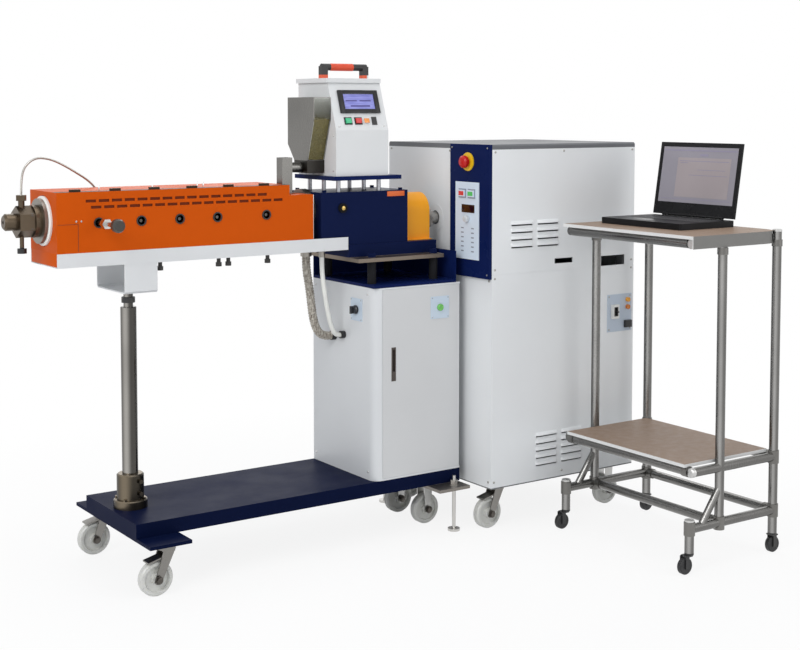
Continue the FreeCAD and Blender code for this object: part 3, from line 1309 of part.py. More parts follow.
def feeder_hopper():
    window = box("8 - hopper_start", "hopper_side - 1", "hopper_taper + 6",
                 "hopper_length - 16", "hopper_wall + 2", "hopper_top - hopper_taper - 30")
    pane = box("8.3 - hopper_start", "hopper_side", "hopper_taper + 6.3",
               "hopper_length - 16.6", "hopper_wall", "hopper_top - hopper_taper - 30.6")
    spout_side = "(hopper_side + hopper_pinch)"
    spout_depth = "(hopper_depth - 2 * hopper_pinch)"
    spout_bottom = "(feed_height - 18)"
    spout = box("0 - hopper_start", spout_side, spout_bottom, "hopper_start - feeder_start",
                spout_depth, f"hopper_bottom - {spout_bottom}")
    tunnel = cylinder("x", "0 - chute_x", "axis_side", "feed_height",
                      "tube_radius - tube_wall", "chute_x - feeder_start + 1")
    drop = box("hopper_wall - hopper_start", f"{spout_side} + hopper_wall", "feed_height",
               "hopper_length - 2 * hopper_wall", f"{spout_depth} - 2 * hopper_wall", "60")
    tube = cylinder("x", "chute_size / 2 - chute_wall - chute_x", "axis_side", "feed_height",
                    "tube_radius", "chute_x - hopper_start - chute_size / 2 + chute_wall")
    hopper = cut(fuse(hopper_shell("0"), spout, tube), hopper_shell("hopper_wall"), window,
                 tunnel, drop)
    chute_bottom = "(screw_height + barrel_radius + 4)"
    chute = cut(
        box("0 - chute_x - chute_size / 2", "axis_side - chute_size / 2", chute_bottom,
            "chute_size", "chute_size", f"chute_top - {chute_bottom}"),
        box("chute_wall - chute_x - chute_size / 2",
            "axis_side + chute_wall - chute_size / 2", f"{chute_bottom} - 1",
            "chute_size - 2 * chute_wall", "chute_size - 2 * chute_wall",
            f"chute_top - {chute_bottom} + 2"),
        cylinder("x", "0 - chute_x", "axis_side", "feed_height", "tube_radius + 0.2", "30"))
    piece("feeder_hopper", group(hopper, pane, chute))


def auger():
    start = "(0 - chute_x)"
    shaft = cylinder("x", start, "axis_side", "feed_height", "auger_shaft_radius",
                     "chute_x - feeder_start + 80")
    path = Part.makeHelix(cell("auger_pitch"), cell("auger_turns") * cell("auger_pitch"),
                          cell("auger_radius") - 2)
    blade = Part.makePolygon([
        Vector(cell("auger_shaft_radius") - 0.5, 0, -1.5), Vector(cell("auger_radius"), 0, -1),
        Vector(cell("auger_radius"), 0, 1), Vector(cell("auger_shaft_radius") - 0.5, 0, 1.5),
        Vector(cell("auger_shaft_radius") - 0.5, 0, -1.5)])
    flight = shape(Part.Wire(path.Edges).makePipeShell([blade], True, True))
    place(flight, f"{start} + 4", "axis_side", "feed_height", TURNS["x"])
    piece("feeder_auger", fuse(shaft, flight))


def feeder_buttons():
    for name, x, width, height in FEEDER_KEYS:
        piece(name, feeder_key(x, width, height, "3 + push_travel", "12"))
    body = feeder_key("rocker_x", "18", "26", "2", "3")
    pivot = cylinder("x", "rocker_x - 9 - feeder_start", f"feeder_front + {ROCKER_Y}",
                     f"feeder_break + {ROCKER_Z}", "2.9", "18")
    piece("feeder_power_switch", fuse(body, pivot))


def feeder():
    feeder_stand()
    feeder_housing()
    feeder_hopper()
    auger()
    feeder_buttons()


# Conduit and hoses

def conduit_and_hoses():
    die_x = -number(f"{BARREL_END} + stem_offset")
    axis = cell("axis_side")
    back = axis + cell("channel_half_width")
    gland = -cell("gland_x")
    low = cell("gland_height")
    hose("sensor_conduit", [
        (die_x, axis, cell("stem_top")), (die_x, axis, 1172), (die_x + 10, axis + 2, 1212),
        (die_x + 44, axis + 6, 1237), (die_x + 92, axis + 18, 1232),
        (die_x + 140, axis + 36, 1212), (die_x + 188, axis + 62, 1188),
        (die_x + 236, axis + 94, 1164), (gland - 14, back + 24, 1134),
        (gland, back + 34, 1104), (gland, back + 30, low + 12), (gland, back + 20, low),
        (gland, back + cell("gland_length"), low)], 3.5)
    wall = -cell("cabinet_start")
    y = cell("hose_side")
    low = cell("hose_height")
    top = cell("channel_bottom") - cell("outlet_drop")
    socket = wall - cell("socket_length")
    outlet = -cell("hose_outlet_x")
    hose("corrugated_hose", [
        (outlet, y - 30, top), (outlet, y - 30, 866), (wall - 114, y - 26, 816),
        (wall - 104, y - 22, 762), (wall - 94, y - 16, 708), (wall - 76, y - 8, 662),
        (wall - 46, y, low), (socket, y, low)], cell("corrugated_radius"))
    outlet = -cell("white_outlet_x")
    side = cell("white_outlet_side")
    hose("white_hose", [
        (outlet, side, top), (outlet, side, 868), (wall - 92, side + 4, 820),
        (wall - 80, side + 10, 768), (wall - 66, side + 16, 716), (wall - 52, side + 22, 676),
        (wall - 34, y - 58, low + 10), (socket, y - 58, low + 10)], cell("white_radius"))


# Data trolley with the laptop

def pipe_post(x, y, bottom, top):
    return cylinder("z", x, y, bottom, "pipe_radius", f"{top} - ({bottom})")


def rail_x(start, end, y, z):
    """Make a pipe along x that ends against the round posts."""
    return cylinder("x", start, y, z, "pipe_radius", f"{end} - ({start})")


def rail_y(x, start, end, z):
    return cylinder("y", x, start, z, "pipe_radius", f"{end} - ({start})")


def brace(y):
    """Make the slanting pipe from the low rail to the front post on one side."""
    start = cell("brace_foot")
    rise = cell("brace_top") - cell("rail_height")
    reach = cell("trolley_front") - start
    slant = math.atan2(reach, rise)
    pipe = cylinder("z", "brace_foot", y, "rail_height", "brace_radius",
                    f"{math.hypot(reach, rise):.4f}")
    pipe.Placement.Rotation = Rotation(Vector(0, 1, 0), math.degrees(slant))
    return pipe


def trolley_frame():
    near = "(0 - trolley_near)"
    far = "(0 - trolley_far)"
    under_table = "(table_top - board_thickness)"
    top_rail = f"({under_table} - pipe_radius)"
    shelf_rail = "(shelf_top - board_thickness - pipe_radius)"
    front_rail = "(table_start + pipe_radius + 4)"
    notch = box("table_start - 1", "0 - table_side - 9",
                "table_top - apron_height - piece_gap",
                "trolley_back - pipe_radius - table_start", "9 + apron_thickness + piece_gap",
                "apron_height + 1")
    parts = []
    for y, rail, end, top in (
            (near, "(0 - table_side + apron_thickness + pipe_radius + 1)",
             "trolley_back - table_corner - 1", "table_top"),
            (far, far, "trolley_back", under_table)):
        parts.append(cut(fuse(
            pipe_post("trolley_back", y, "back_post_bottom", top),
            pipe_post("trolley_front", y, "rail_height", top_rail),
            pipe_post("trolley_toe", y, "trolley_caster_height", "toe_top"),
            rail_x("trolley_toe", "trolley_back", y, "rail_height"),
            rail_x(front_rail, end, rail, top_rail),
            rail_x(front_rail, "trolley_back", y, shelf_rail), brace(y)), notch))
    inner_near = f"({near} + pipe_radius)"
    inner_far = f"({far} - pipe_radius)"
    for x, z in (("trolley_back", shelf_rail), (front_rail, shelf_rail),
                 ("trolley_front", "rail_height"), ("trolley_back", "rail_height"),
                 ("trolley_back", top_rail)):
        parts.append(rail_y(x, inner_near, inner_far, z))
    parts.append(rail_y(front_rail, "0 - table_side + apron_thickness + 2 * pipe_radius + 1",
                        inner_far, top_rail))
    piece("trolley_frame", group(*parts, *[trolley_fork("trolley_back", y)
                                           for y in (near, far)]))


def trolley_fork(x, y, trail="0", gap="0"):
    """Make a small twin-legged caster fork with a stem plate under a pipe."""
    top = f"(trolley_caster_height - {gap})"
    half_gap = "(trolley_wheel_width / 2 + 1)"
    crown = cylinder("z", x, y, f"{top} - 6", "pipe_radius", "6")
    cap = box(f"{x} - 12 + ({trail}) / 2", f"{y} - {half_gap} - 3", f"{top} - 9",
              "24", f"2 * ({half_gap} + 3)", "4")
    legs = [box(f"{x} + ({trail}) - 7", side, "trolley_wheel_radius - 7", "14", "3",
                f"{top} - 9 - trolley_wheel_radius + 7 + 2")
            for side in (f"{y} - {half_gap} - 3", f"{y} + {half_gap}")]
    axle = cylinder("y", f"{x} + ({trail})", f"{y} - {half_gap} - 3",
                    "trolley_wheel_radius", "3", f"2 * ({half_gap} + 3)")
    return fuse(crown, cap, axle, *legs)


def trolley_wheel(label, x, y):
    half = "(trolley_wheel_width / 2)"
    bore = "(3 + running_gap)"
    wheel = turned([
        (bore, f"0 - {half}"), ("trolley_wheel_radius - 3", f"0 - {half}"),
        ("trolley_wheel_radius", f"3 - {half}"), ("trolley_wheel_radius", f"{half} - 3"),
        ("trolley_wheel_radius - 3", half), (bore, half)], "y", x, y,
        "trolley_wheel_radius")
    piece(label, wheel)


def near_corner(board, radius, inset):
    """Round the corner of a board that stands beside the near back post."""
    corner_x = number(f"table_start + table_length - {inset}")
    corner_y = number(f"{inset} - table_side")
    return rounded(board, radius, lambda middle, along: abs(along.z) > 0.99
                   and abs(middle.x - corner_x) < 1 and abs(middle.y - corner_y) < 1)


def trolley_boards():
    table = box("table_start", "0 - table_side", "table_top - board_thickness",
                "table_length", "table_depth", "board_thickness")
    notches = [cylinder("z", x, y, "shelf_top - board_thickness - 1",
                        "pipe_radius + piece_gap", "board_thickness + 2")
               for x in ("trolley_front", "trolley_back")
               for y in ("0 - trolley_near", "0 - trolley_far")]
    shelf = box("table_start", "0 - shelf_side", "shelf_top - board_thickness",
                "shelf_length", "shelf_depth", "board_thickness")
    skirt_bottom = "(table_top - apron_height)"
    skirt = box("table_start", "0 - table_side", skirt_bottom, "table_length",
                "2 * table_corner", "apron_height - board_thickness")
    within = box("table_start - 1", "apron_thickness - table_side", f"{skirt_bottom} - 1",
                 "table_length - apron_thickness + 1", "2 * table_corner",
                 "apron_height - board_thickness + 2")
    beyond = box("apron_end", "0 - table_side - 1", f"{skirt_bottom} - 1", "table_corner",
                 "2 * table_corner + 2", "apron_height - board_thickness + 2")
    document.recompute()
    corner = cell("table_corner")
    table = near_corner(table, corner, "0")
    skirt = near_corner(skirt, corner, "0")
    within = near_corner(within, corner - cell("apron_thickness"), "apron_thickness")
    piece("trolley_boards", group(fuse(table, cut(skirt, within, beyond)),
                                  cut(shelf, *notches)))


def laptop():
    base = box("laptop_start", "0 - laptop_side", "table_top", "laptop_length",
               "laptop_width", "laptop_thickness")
    document.recompute()
    base = rounded(base, 8, lambda middle, along: abs(along.z) > 0.99)
    keys = box("laptop_start + 95", "18 - laptop_side", "table_top + laptop_thickness - 1.5",
               "110", "laptop_width - 36", "3")
    piece("laptop_base", cut(base, keys))
    lid = new_body("Lid")
    panel = rectangle(lid, "XY_Plane", "0 - lid_height", "0", "lid_height",
                      "laptop_width")
    pad(lid, panel, "screen_thickness")
    window = rectangle(lid, "XY_Plane", "14 - lid_height", "14", "lid_height - 40",
                       "laptop_width - 28")
    pocket(lid, window, "1", backwards=True)
    hinge_barrel = circles(lid, "XZ_Plane", [("0", "0", "lid_barrel_radius")],
                           "0 - laptop_width / 8")
    pad(lid, hinge_barrel, "laptop_width * 3 / 4", backwards=True)
    place(lid, LID_HINGE_X, "0 - laptop_side", "table_top + laptop_thickness + lid_hinge_rise",
          Rotation(Vector(0, 1, 0), cell("lid_angle")))
    piece("laptop_lid", lid)


def trolley():
    trolley_frame()
    trolley_boards()
    laptop()
    for name, y in (("near", "(0 - trolley_near)"), ("far", "(0 - trolley_far)")):
        fork = trolley_fork("trolley_toe", y, "0 - trolley_trail", "piece_gap")
        piece(f"trolley_fork_{name}", fork)
        trolley_wheel(f"trolley_wheel_{name}", "trolley_toe - trolley_trail", y)
        trolley_wheel(f"trolley_fixed_wheel_{name}", "trolley_back", y)


def check_and_export():
    document.recompute()
    faults = [item.Label for item in document.Objects
              if "Invalid" in item.State or "Error" in item.State]
    for label, made in PIECES.items():
        if made.Shape.isNull() or not made.Shape.isValid() or not made.Shape.Solids:
            faults.append(label)
    if faults:
        raise RuntimeError("Pieces that failed: " + ", ".join(faults))
    document.removeObject(gauge.Name)
    os.makedirs("parts", exist_ok=True)
    for label, made in PIECES.items():
        made.Shape.exportStep(f"parts/{label}.step")
    print(len(PIECES), "pieces")


drive_unit()
carriage()
feeder()
conduit_and_hoses()
trolley()
check_and_export()
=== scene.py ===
"""A laboratory plasticity tester in a plain studio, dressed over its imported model.

Places are given in millimetres from the drive unit's front corner on the floor, x along the
extruder, y from the side with the trolley, z up. at() turns them into the model's metres.
"""
import math
import random

import bmesh
import bpy
from mathutils import Matrix, Vector


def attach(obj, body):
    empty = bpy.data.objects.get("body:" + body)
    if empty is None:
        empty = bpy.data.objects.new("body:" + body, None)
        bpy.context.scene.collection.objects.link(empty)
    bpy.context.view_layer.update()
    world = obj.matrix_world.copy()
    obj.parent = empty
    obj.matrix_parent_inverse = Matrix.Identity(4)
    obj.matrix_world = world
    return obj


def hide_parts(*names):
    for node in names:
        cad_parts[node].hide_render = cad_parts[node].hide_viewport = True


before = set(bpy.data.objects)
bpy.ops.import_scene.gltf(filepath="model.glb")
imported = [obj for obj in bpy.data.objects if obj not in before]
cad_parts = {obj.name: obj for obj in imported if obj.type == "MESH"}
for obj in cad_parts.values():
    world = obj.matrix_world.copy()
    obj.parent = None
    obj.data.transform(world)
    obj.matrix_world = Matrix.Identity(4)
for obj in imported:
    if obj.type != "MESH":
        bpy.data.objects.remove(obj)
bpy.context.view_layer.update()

# How far the model's own origin lies from that corner.
FOOTPRINT_X = 420.5
FOOTPRINT_Y = 27.5
# The axis of the spindle and the screws.
AXIS_SIDE = 307
SCREW_HEIGHT = 1058
random.seed(7)

CAMERA_PLACE = (-2766.6, -3503.7, 1371.3)
CAMERA_AZIMUTH = 34.03
CAMERA_PITCH = 3.571
CAMERA_LENS = 63.02
CAMERA_SHIFT = (0.0151, -0.16)
LIGHTS_AIM = (-300, 100, 800)
LIGHTS = (  # name, metres from the aim, size, power
    ("key", (-4.2, -2.2, 2.6), 3.0, 120), ("fill", (2.6, -4.6, 1.8), 3.4, 46),
    ("top", (0.2, -0.3, 4.2), 4.0, 60), ("rear", (1.5, 4.2, 2.6), 3.0, 40))
FLOOR_REACH = 30
# Between these distances in metres the floor turns from this share of plain white to all.
WHITE_FROM, WHITE_TO = 0.9, 2.2
WHITE_SHARE = 0.87
# Upright bars get a painted dark reflection where their normal lies along this axis.
FLANK_AXIS = (0.75, -0.66, 0)
FLANK_OFFSET = 0.15
FLANK_RANGE = (0.05, 0.7)
PAINTED_REFLECTION_SHADE = (0.03, 0.028, 0.025)
METAL = True


def at(x, y, z):
    """Turn a place in millimetres into the model's own metres."""
    return Vector(((x + FOOTPRINT_X) / 1000, (y + FOOTPRINT_Y) / 1000, z / 1000))


# Camera, floor and light

def linked(name, data):
    made = bpy.data.objects.new(name, data)
    bpy.context.scene.collection.objects.link(made)
    return made


def stand(name, data, place, looking):
    """Stand a camera or a lamp at a place, looking along a direction."""
    made = linked(name, data)
    made.location = place
    made.rotation_mode = "QUATERNION"
    made.rotation_quaternion = looking.to_track_quat("-Z", "Y")
    return made


def studio_camera():
    """Stand the camera where the photograph was taken, to the left of the trolley."""
    azimuth = math.radians(CAMERA_AZIMUTH)
    pitch = math.radians(CAMERA_PITCH)
    looking = Vector((math.sin(azimuth) * math.cos(pitch), math.cos(azimuth) * math.cos(pitch),
                      -math.sin(pitch)))
    data = bpy.data.cameras.new("camera")
    data.sensor_width = 36
    data.lens = CAMERA_LENS
    data.shift_x, data.shift_y = CAMERA_SHIFT
    bpy.context.scene.camera = stand("camera", data, at(*CAMERA_PLACE), looking)
    bpy.context.scene.view_settings.view_transform = "Standard"


def studio_lights():
    """Hang soft lights around the machine."""
    aim = at(*LIGHTS_AIM)
    for name, away, size, power in LIGHTS:
        data = bpy.data.lights.new(name, "AREA")
        data.shape = "DISK"
        data.size = size
        data.energy = power
        place = aim + Vector(away)
        stand(name, data, place, aim - place)


def plain_rays(nodes, links):
    """Mark the rays that see, mirror or look through to the backdrop."""
    path = nodes.new("ShaderNodeLightPath")
    last = path.outputs["Is Camera Ray"]
    for kind in ("Is Glossy Ray", "Is Transmission Ray"):
        either = nodes.new("ShaderNodeMath")
        either.operation = "MAXIMUM"
        links.new(last, either.inputs[0])
        links.new(path.outputs[kind], either.inputs[1])
        last = either.outputs[0]
    return last


def emitter(nodes, kind, colour, strength):
    made = nodes.new("ShaderNode" + kind)
    made.inputs["Color"].default_value = (*colour, 1)
    made.inputs["Strength"].default_value = strength
    return made


def show(nodes, links, kind, factor, first, second):
    """Send a mix of two shaders to the output."""
    out = nodes.new("ShaderNodeOutput" + kind)
    mix = nodes.new("ShaderNodeMixShader")
    links.new(factor, mix.inputs["Fac"])
    links.new(first.outputs[0], mix.inputs[1])
    links.new(second.outputs[0], mix.inputs[2])
    links.new(mix.outputs[0], out.inputs["Surface"])


def studio_world():
    """Light the object evenly, and show white to the camera and in reflections."""
    world = bpy.data.worlds.new("studio")
    bpy.context.scene.world = world
    world.use_nodes = True
    nodes, links = world.node_tree.nodes, world.node_tree.links
    nodes.clear()
    show(nodes, links, "World", plain_rays(nodes, links),
         emitter(nodes, "Background", (0.93, 0.96, 1.0), 0.5),
         emitter(nodes, "Background", (1, 1, 1), 1.0))


def studio_floor():
    """Lay a white floor that keeps a soft shadow."""
    mesh = bpy.data.meshes.new("floor")
    mesh.from_pydata([(FLOOR_REACH * x, FLOOR_REACH * y, 0)
                      for x, y in ((-1, -1), (1, -1), (1, 1), (-1, 1))], [], [(0, 1, 2, 3)])
    floor = linked("floor", mesh)
    material = bpy.data.materials.new("floor_white")
    material.use_nodes = True
    nodes, links = material.node_tree.nodes, material.node_tree.links
    nodes.clear()
    paper = nodes.new("ShaderNodeBsdfDiffuse")
    paper.inputs["Color"].default_value = (0.86, 0.86, 0.86, 1)
    share = nodes.new("ShaderNodeMath")
    share.operation = "MULTIPLY"
    spot = nodes.new("ShaderNodeTexCoord")
    away = nodes.new("ShaderNodeVectorMath")
    away.operation = "LENGTH"
    fade = nodes.new("ShaderNodeMapRange")
    for end, number in (("From Min", WHITE_FROM), ("From Max", WHITE_TO),
                        ("To Min", WHITE_SHARE), ("To Max", 1.0)):
        fade.inputs[end].default_value = number
    links.new(spot.outputs["Object"], away.inputs[0])
    links.new(away.outputs["Value"], fade.inputs["Value"])
    links.new(fade.outputs["Result"], share.inputs[1])
    links.new(plain_rays(nodes, links), share.inputs[0])
    show(nodes, links, "Material", share.outputs[0], paper,
         emitter(nodes, "Emission", (1, 1, 1), 1.0))
    mesh.materials.append(material)


# Materials

class Surface:
    """A material under construction, on the model's own coordinates."""

    def __init__(self, name):
        self.material = bpy.data.materials.new(name)
        self.material.use_nodes = True
        self.nodes = self.material.node_tree.nodes
        self.links = self.material.node_tree.links
        self.shader = self.nodes["Principled BSDF"]
        self.place = self.nodes.new("ShaderNodeTexCoord").outputs["Object"]

    def node(self, kind, **settings):
        made = self.nodes.new("ShaderNode" + kind)
        for key, value in settings.items():
            setattr(made, key, value)
        return made

    def feed(self, socket, value):
        """Give a socket a link or a plain value."""
        if isinstance(value, bpy.types.NodeSocket):
            self.links.new(value, socket)
        elif isinstance(value, tuple) and len(value) == 3 and socket.type == "RGBA":
            socket.default_value = (*value, 1)
        else:
            socket.default_value = value

    def put(self, socket, value):
        """Feed one of the shader's own sockets."""
        self.feed(self.shader.inputs[socket], value)

    def math(self, operation, first, second=0.0):
        made = self.node("Math", operation=operation)
        self.feed(made.inputs[0], first)
        self.feed(made.inputs[1], second)
        return made.outputs[0]

    def blend(self, factor, first, second):
        made = self.node("Mix", data_type="RGBA")
        self.feed(made.inputs[0], factor)
        self.feed(made.inputs[6], first)
        self.feed(made.inputs[7], second)
        return made.outputs[2]

    def noise(self, scale, detail=3.0, stretch=(1, 1, 1)):
        mapping = self.node("Mapping")
        mapping.inputs["Scale"].default_value = stretch
        self.links.new(self.place, mapping.inputs["Vector"])
        made = self.node("TexNoise")
        made.inputs["Scale"].default_value = scale
        made.inputs["Detail"].default_value = detail
        self.links.new(mapping.outputs[0], made.inputs["Vector"])
        return made.outputs["Fac"]

    def ranged(self, value, old, new, way="LINEAR"):
        """Map one range onto another."""
        made = self.node("MapRange", interpolation_type=way)
        for end, number in zip(("From Min", "From Max", "To Min", "To Max"), (*old, *new)):
            made.inputs[end].default_value = number
        self.links.new(value, made.inputs["Value"])
        return made.outputs["Result"]

    def spread(self, value, low, high):
        """Map the usual range of a pattern onto another."""
        return self.ranged(value, (0.3, 0.7), (low, high))

    def tint(self, pattern, first, second):
        """Colour the surface between two shades by a pattern."""
        self.put("Base Color", self.blend(self.spread(pattern, 0.0, 1.0), first, second))

    def roughen(self, scale, low, high):
        """Let the roughness wander between two values."""
        self.put("Roughness", self.spread(self.noise(scale), low, high))

    def vector(self, operation, value, other=None):
        made = self.node("VectorMath", operation=operation)
        self.links.new(value, made.inputs[0])
        if other is not None:
            made.inputs[1].default_value = other
        return made

    def inside(self, low, high):
        """Mask the space between two corners, given in millimetres."""
        low, high = at(*low), at(*high)
        away = self.vector("SUBTRACT", self.place, (low + high) / 2)
        size = self.vector("ABSOLUTE", away.outputs[0])
        past = self.vector("SUBTRACT", size.outputs[0], (high - low) / 2)
        parts = self.node("SeparateXYZ")
        self.links.new(past.outputs[0], parts.inputs[0])
        most = self.math("MAXIMUM", self.math("MAXIMUM", parts.outputs[0], parts.outputs[1]),
                         parts.outputs[2])
        return self.math("LESS_THAN", most, 0.0)

    def outside(self, mask):
        return self.math("SUBTRACT", 1.0, mask)

    def along(self, direction):
        """Measure how far the faces point along a direction."""
        normal = self.node("NewGeometry").outputs["Normal"]
        return self.vector("DOT_PRODUCT", normal, direction).outputs["Value"]

    def facing(self, direction, least):
        """Mask the faces that point along a direction."""
        return self.math("GREATER_THAN", self.along(direction), least)

    def painted_flank_reflection(self, shade, depth):
        """Paint a dark reflection of a room on both flanks of an upright bar."""
        away = self.math("ABSOLUTE", self.math("ADD", self.along(FLANK_AXIS), FLANK_OFFSET))
        fade = self.ranged(away, FLANK_RANGE, (0.0, depth), "SMOOTHSTEP")
        return self.blend(fade, shade, PAINTED_REFLECTION_SHADE)

    def zoned(self, shade, gloss, base, zones):
        """Give zones their own look: two corners, colour, roughness and, if so, METAL."""
        metal = base
        for low, high, colour, roughness, *marks in zones:
            metallic = METAL in marks
            mask = self.inside(low, high)
            shade = self.blend(mask, shade, colour)
            gloss = self.math("ADD", self.math("MULTIPLY", gloss, self.outside(mask)),
                              self.math("MULTIPLY", mask, roughness))
            if metallic > base:
                metal = self.math("MAXIMUM", metal, mask)
            elif metallic < base:
                metal = self.math("MULTIPLY", metal, self.outside(mask))
        return shade, gloss, metal

    def coat(self, shade, gloss, metal):
        self.put("Base Color", shade)
        self.put("Roughness", gloss)
        self.put("Metallic", metal)

    def bump(self, height, strength, distance):
        made = self.node("Bump")
        made.inputs["Strength"].default_value = strength
        made.inputs["Distance"].default_value = distance
        self.links.new(height, made.inputs["Height"])
        self.links.new(made.outputs[0], self.shader.inputs["Normal"])


def toned(colour, share, lift=0.0):
    """Make a colour darker or lighter."""
    return tuple(min(1.0, part * share + lift) for part in colour)


def painted(name, colour, roughness=0.35, zones=(), shine=0.5):
    """Make powder paint with a fine peel, faint shade changes and coloured zones."""
    made = Surface(name)
    shade = made.blend(made.spread(made.noise(3.0, 4.0), 0.0, 1.0), toned(colour, 0.955),
                       colour)
    gloss = made.spread(made.noise(9.0, 5.0), roughness - 0.05, roughness + 0.06)
    made.coat(*made.zoned(shade, gloss, 0.0, zones))
    made.put("Specular IOR Level", shine)
    if shine < 0.2:
        made.put("IOR", 1.2)
    made.bump(made.noise(650.0, 2.0), 0.12, 0.0004)
    return made.material


def brushed(name, colour, roughness, stretch=(1, 1, 1), zones=(), strength=0.25, clear=None,
            flanks=0.0):
    """Make metal with fine drawn lines along the axis that is stretched least.

    The space between the corners in clear is an acrylic pane instead, and flanks says how
    dark a painted reflection makes the sides of its upright bars.
    """
    made = Surface(name)
    lines = made.noise(900.0, 3.0, stretch)
    stain = made.noise(7.0, 5.0)
    shade = made.blend(made.spread(stain, 0.0, 1.0), toned(colour, 0.82), colour)
    gloss = made.math("ADD", made.spread(lines, roughness - 0.07, roughness + 0.08),
                      made.spread(stain, -0.03, 0.05))
    shade, gloss, metal = made.zoned(shade, gloss, 1.0, zones)
    # Paint a dark reflection on the flanks of upright bars.
    if flanks:
        shade = made.painted_flank_reflection(shade, flanks)
    if clear:
        pane = made.inside(*clear)
        metal = made.outside(pane)
        shade = made.blend(pane, shade, (0.95, 0.97, 0.96))
        gloss = made.math("MULTIPLY", gloss, made.outside(pane))
        made.put("Transmission Weight", pane)
        made.put("IOR", made.math("SUBTRACT", 1.5, made.math("MULTIPLY", pane, 0.42)))
    made.coat(shade, gloss, metal)
    made.bump(lines, strength, 0.0003)
    return made.material


def moulded(name, colour, roughness=0.45, grain=900.0, strength=0.15, shine=0.5):
    """Make moulded plastic or rubber with a fine grain."""
    made = Surface(name)
    made.tint(made.noise(14.0, 4.0), colour, toned(colour, 1.12, 0.004))
    made.roughen(30.0, roughness - 0.05, roughness + 0.07)
    made.put("Specular IOR Level", shine)
    made.bump(made.noise(grain, 2.0), strength, 0.0003)
    return made.material


def lit(name, colour, glow, roughness=0.25, within=None):
    """Make a translucent lamp cap that shines faintly, between two corners if given."""
    made = Surface(name)
    shade = made.blend(made.spread(made.noise(60.0), 0.0, 1.0), colour,
                       toned(colour, 1.25, 0.02))
    power = glow
    if within:
        cap = made.inside(*within)
        shade = made.blend(cap, PALE_BLUE, shade)
        power = made.math("MULTIPLY", cap, glow)
    made.put("Base Color", shade)
    made.roughen(45.0, roughness - 0.05, roughness + 0.05)
    made.put("Emission Color", colour)
    made.put("Emission Strength", power)
    made.put("Coat Weight", 0.5)
    made.bump(made.noise(400.0), 0.05, 0.0003)
    return made.material


# Mesh helpers

def finish_mesh(name, mesh_maker, material, body, bevel=0.0, smooth=True):
    """Turn a bmesh into a piece that rides on a body."""
    mesh = bpy.data.meshes.new(name)
    mesh_maker.to_mesh(mesh)
    mesh_maker.free()
    piece = linked(name, mesh)
    mesh.materials.append(material)
    if bevel:
        softened = piece.modifiers.new("bevel", "BEVEL")
        softened.width = bevel / 1000
        softened.segments = 2
        softened.limit_method = "ANGLE"
        softened.angle_limit = math.radians(40)
    if smooth:
        for face in mesh.polygons:
            face.use_smooth = True
        sharp = piece.modifiers.new("sharp", "EDGE_SPLIT")
        sharp.split_angle = math.radians(35)
    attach(piece, body)
    return piece


def add_box(shape, low, high):
    """Add a block between two corners in millimetres."""
    low, high = at(*low), at(*high)
    centre = (low + high) / 2
    made = bmesh.ops.create_cube(shape, size=1)
    scale = Matrix.Diagonal(high - low).to_4x4()
    bmesh.ops.transform(shape, matrix=Matrix.Translation(centre) @ scale, verts=made["verts"])


def towards(place, direction):
    """Turn +Z to a direction from a place in millimetres."""
    turn = Vector(direction).to_track_quat("Z", "Y").to_matrix().to_4x4()
    return Matrix.Translation(at(*place)) @ turn


def circle(shape, matrix, radius, height, sides):
    """Add a ring of corners about a matrix's z axis, in millimetres."""
    ring = []
    for index in range(sides):
        angle = 2 * math.pi * index / sides
        spot = Vector((radius * math.cos(angle), radius * math.sin(angle), height)) / 1000
        ring.append(shape.verts.new(matrix @ spot))
    return ring


def add_strip(shape, first, second, closed=True, turned=False):
    """Join two rows of corners with faces, or with faces turned the other way."""
    count = len(first)
    for index in range(count if closed else count - 1):
        following = (index + 1) % count
        face = [first[index], first[following], second[following], second[index]]
        shape.faces.new([face[0], *face[:0:-1]] if turned else face)


def add_tube(shape, loops):
    """Join rings of corners into a tube with closed ends."""
    for first, second in zip(loops, loops[1:]):
        add_strip(shape, first, second)
    shape.faces.new(list(reversed(loops[0])))
    shape.faces.new(loops[-1])


def add_lathe(shape, profile, place, direction, sides):
    """Turn a profile of (radius, height) in millimetres about a direction from a place."""
    matrix = towards(place, direction)
    add_tube(shape, [circle(shape, matrix, radius, height, sides)
                     for radius, height in profile])


def add_ring(shape, place, direction, outer, inner, height, sides=28):
    """Add a flat ring that stands on a face."""
    matrix = towards(place, direction)
    foot = -0.2
    loops = [circle(shape, matrix, radius, rise, sides) for radius, rise in
             ((outer, foot), (outer, height), (inner, height), (inner, foot))]
    for first, second in zip(loops, loops[1:] + loops[:1]):
        add_strip(shape, first, second)


def lathes(name, profile, places, direction, material, sides=32, body="carriage"):
    shape = bmesh.new()
    for place in places:
        add_lathe(shape, profile, place, direction, sides)
    finish_mesh(name, shape, material, body)


def screws(name, places, direction, material, radius, body="carriage"):
    """Make domed screw heads with a recess, which stand on a face."""
    rise = 2.2
    lathes(name, [(radius, -0.3), (radius, rise * 0.35), (radius * 0.8, rise * 0.85),
                  (radius * 0.45, rise), (radius * 0.42, rise * 0.45)],
           places, direction, material, 14, body)


def rings(name, places, direction, sizes, material, sides=28, body="carriage"):
    """Make rings of an outer radius, an inner radius and a height."""
    shape = bmesh.new()
    for place in places:
        add_ring(shape, place, direction, *sizes, sides)
    finish_mesh(name, shape, material, body)


def blocks(name, spans, material, bevel, body="carriage"):
    shape = bmesh.new()
    for low, high in spans:
        add_box(shape, low, high)
    finish_mesh(name, shape, material, body, bevel)


def dress(node, material):
    """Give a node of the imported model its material."""
    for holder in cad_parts[node].material_slots:
        holder.material = material


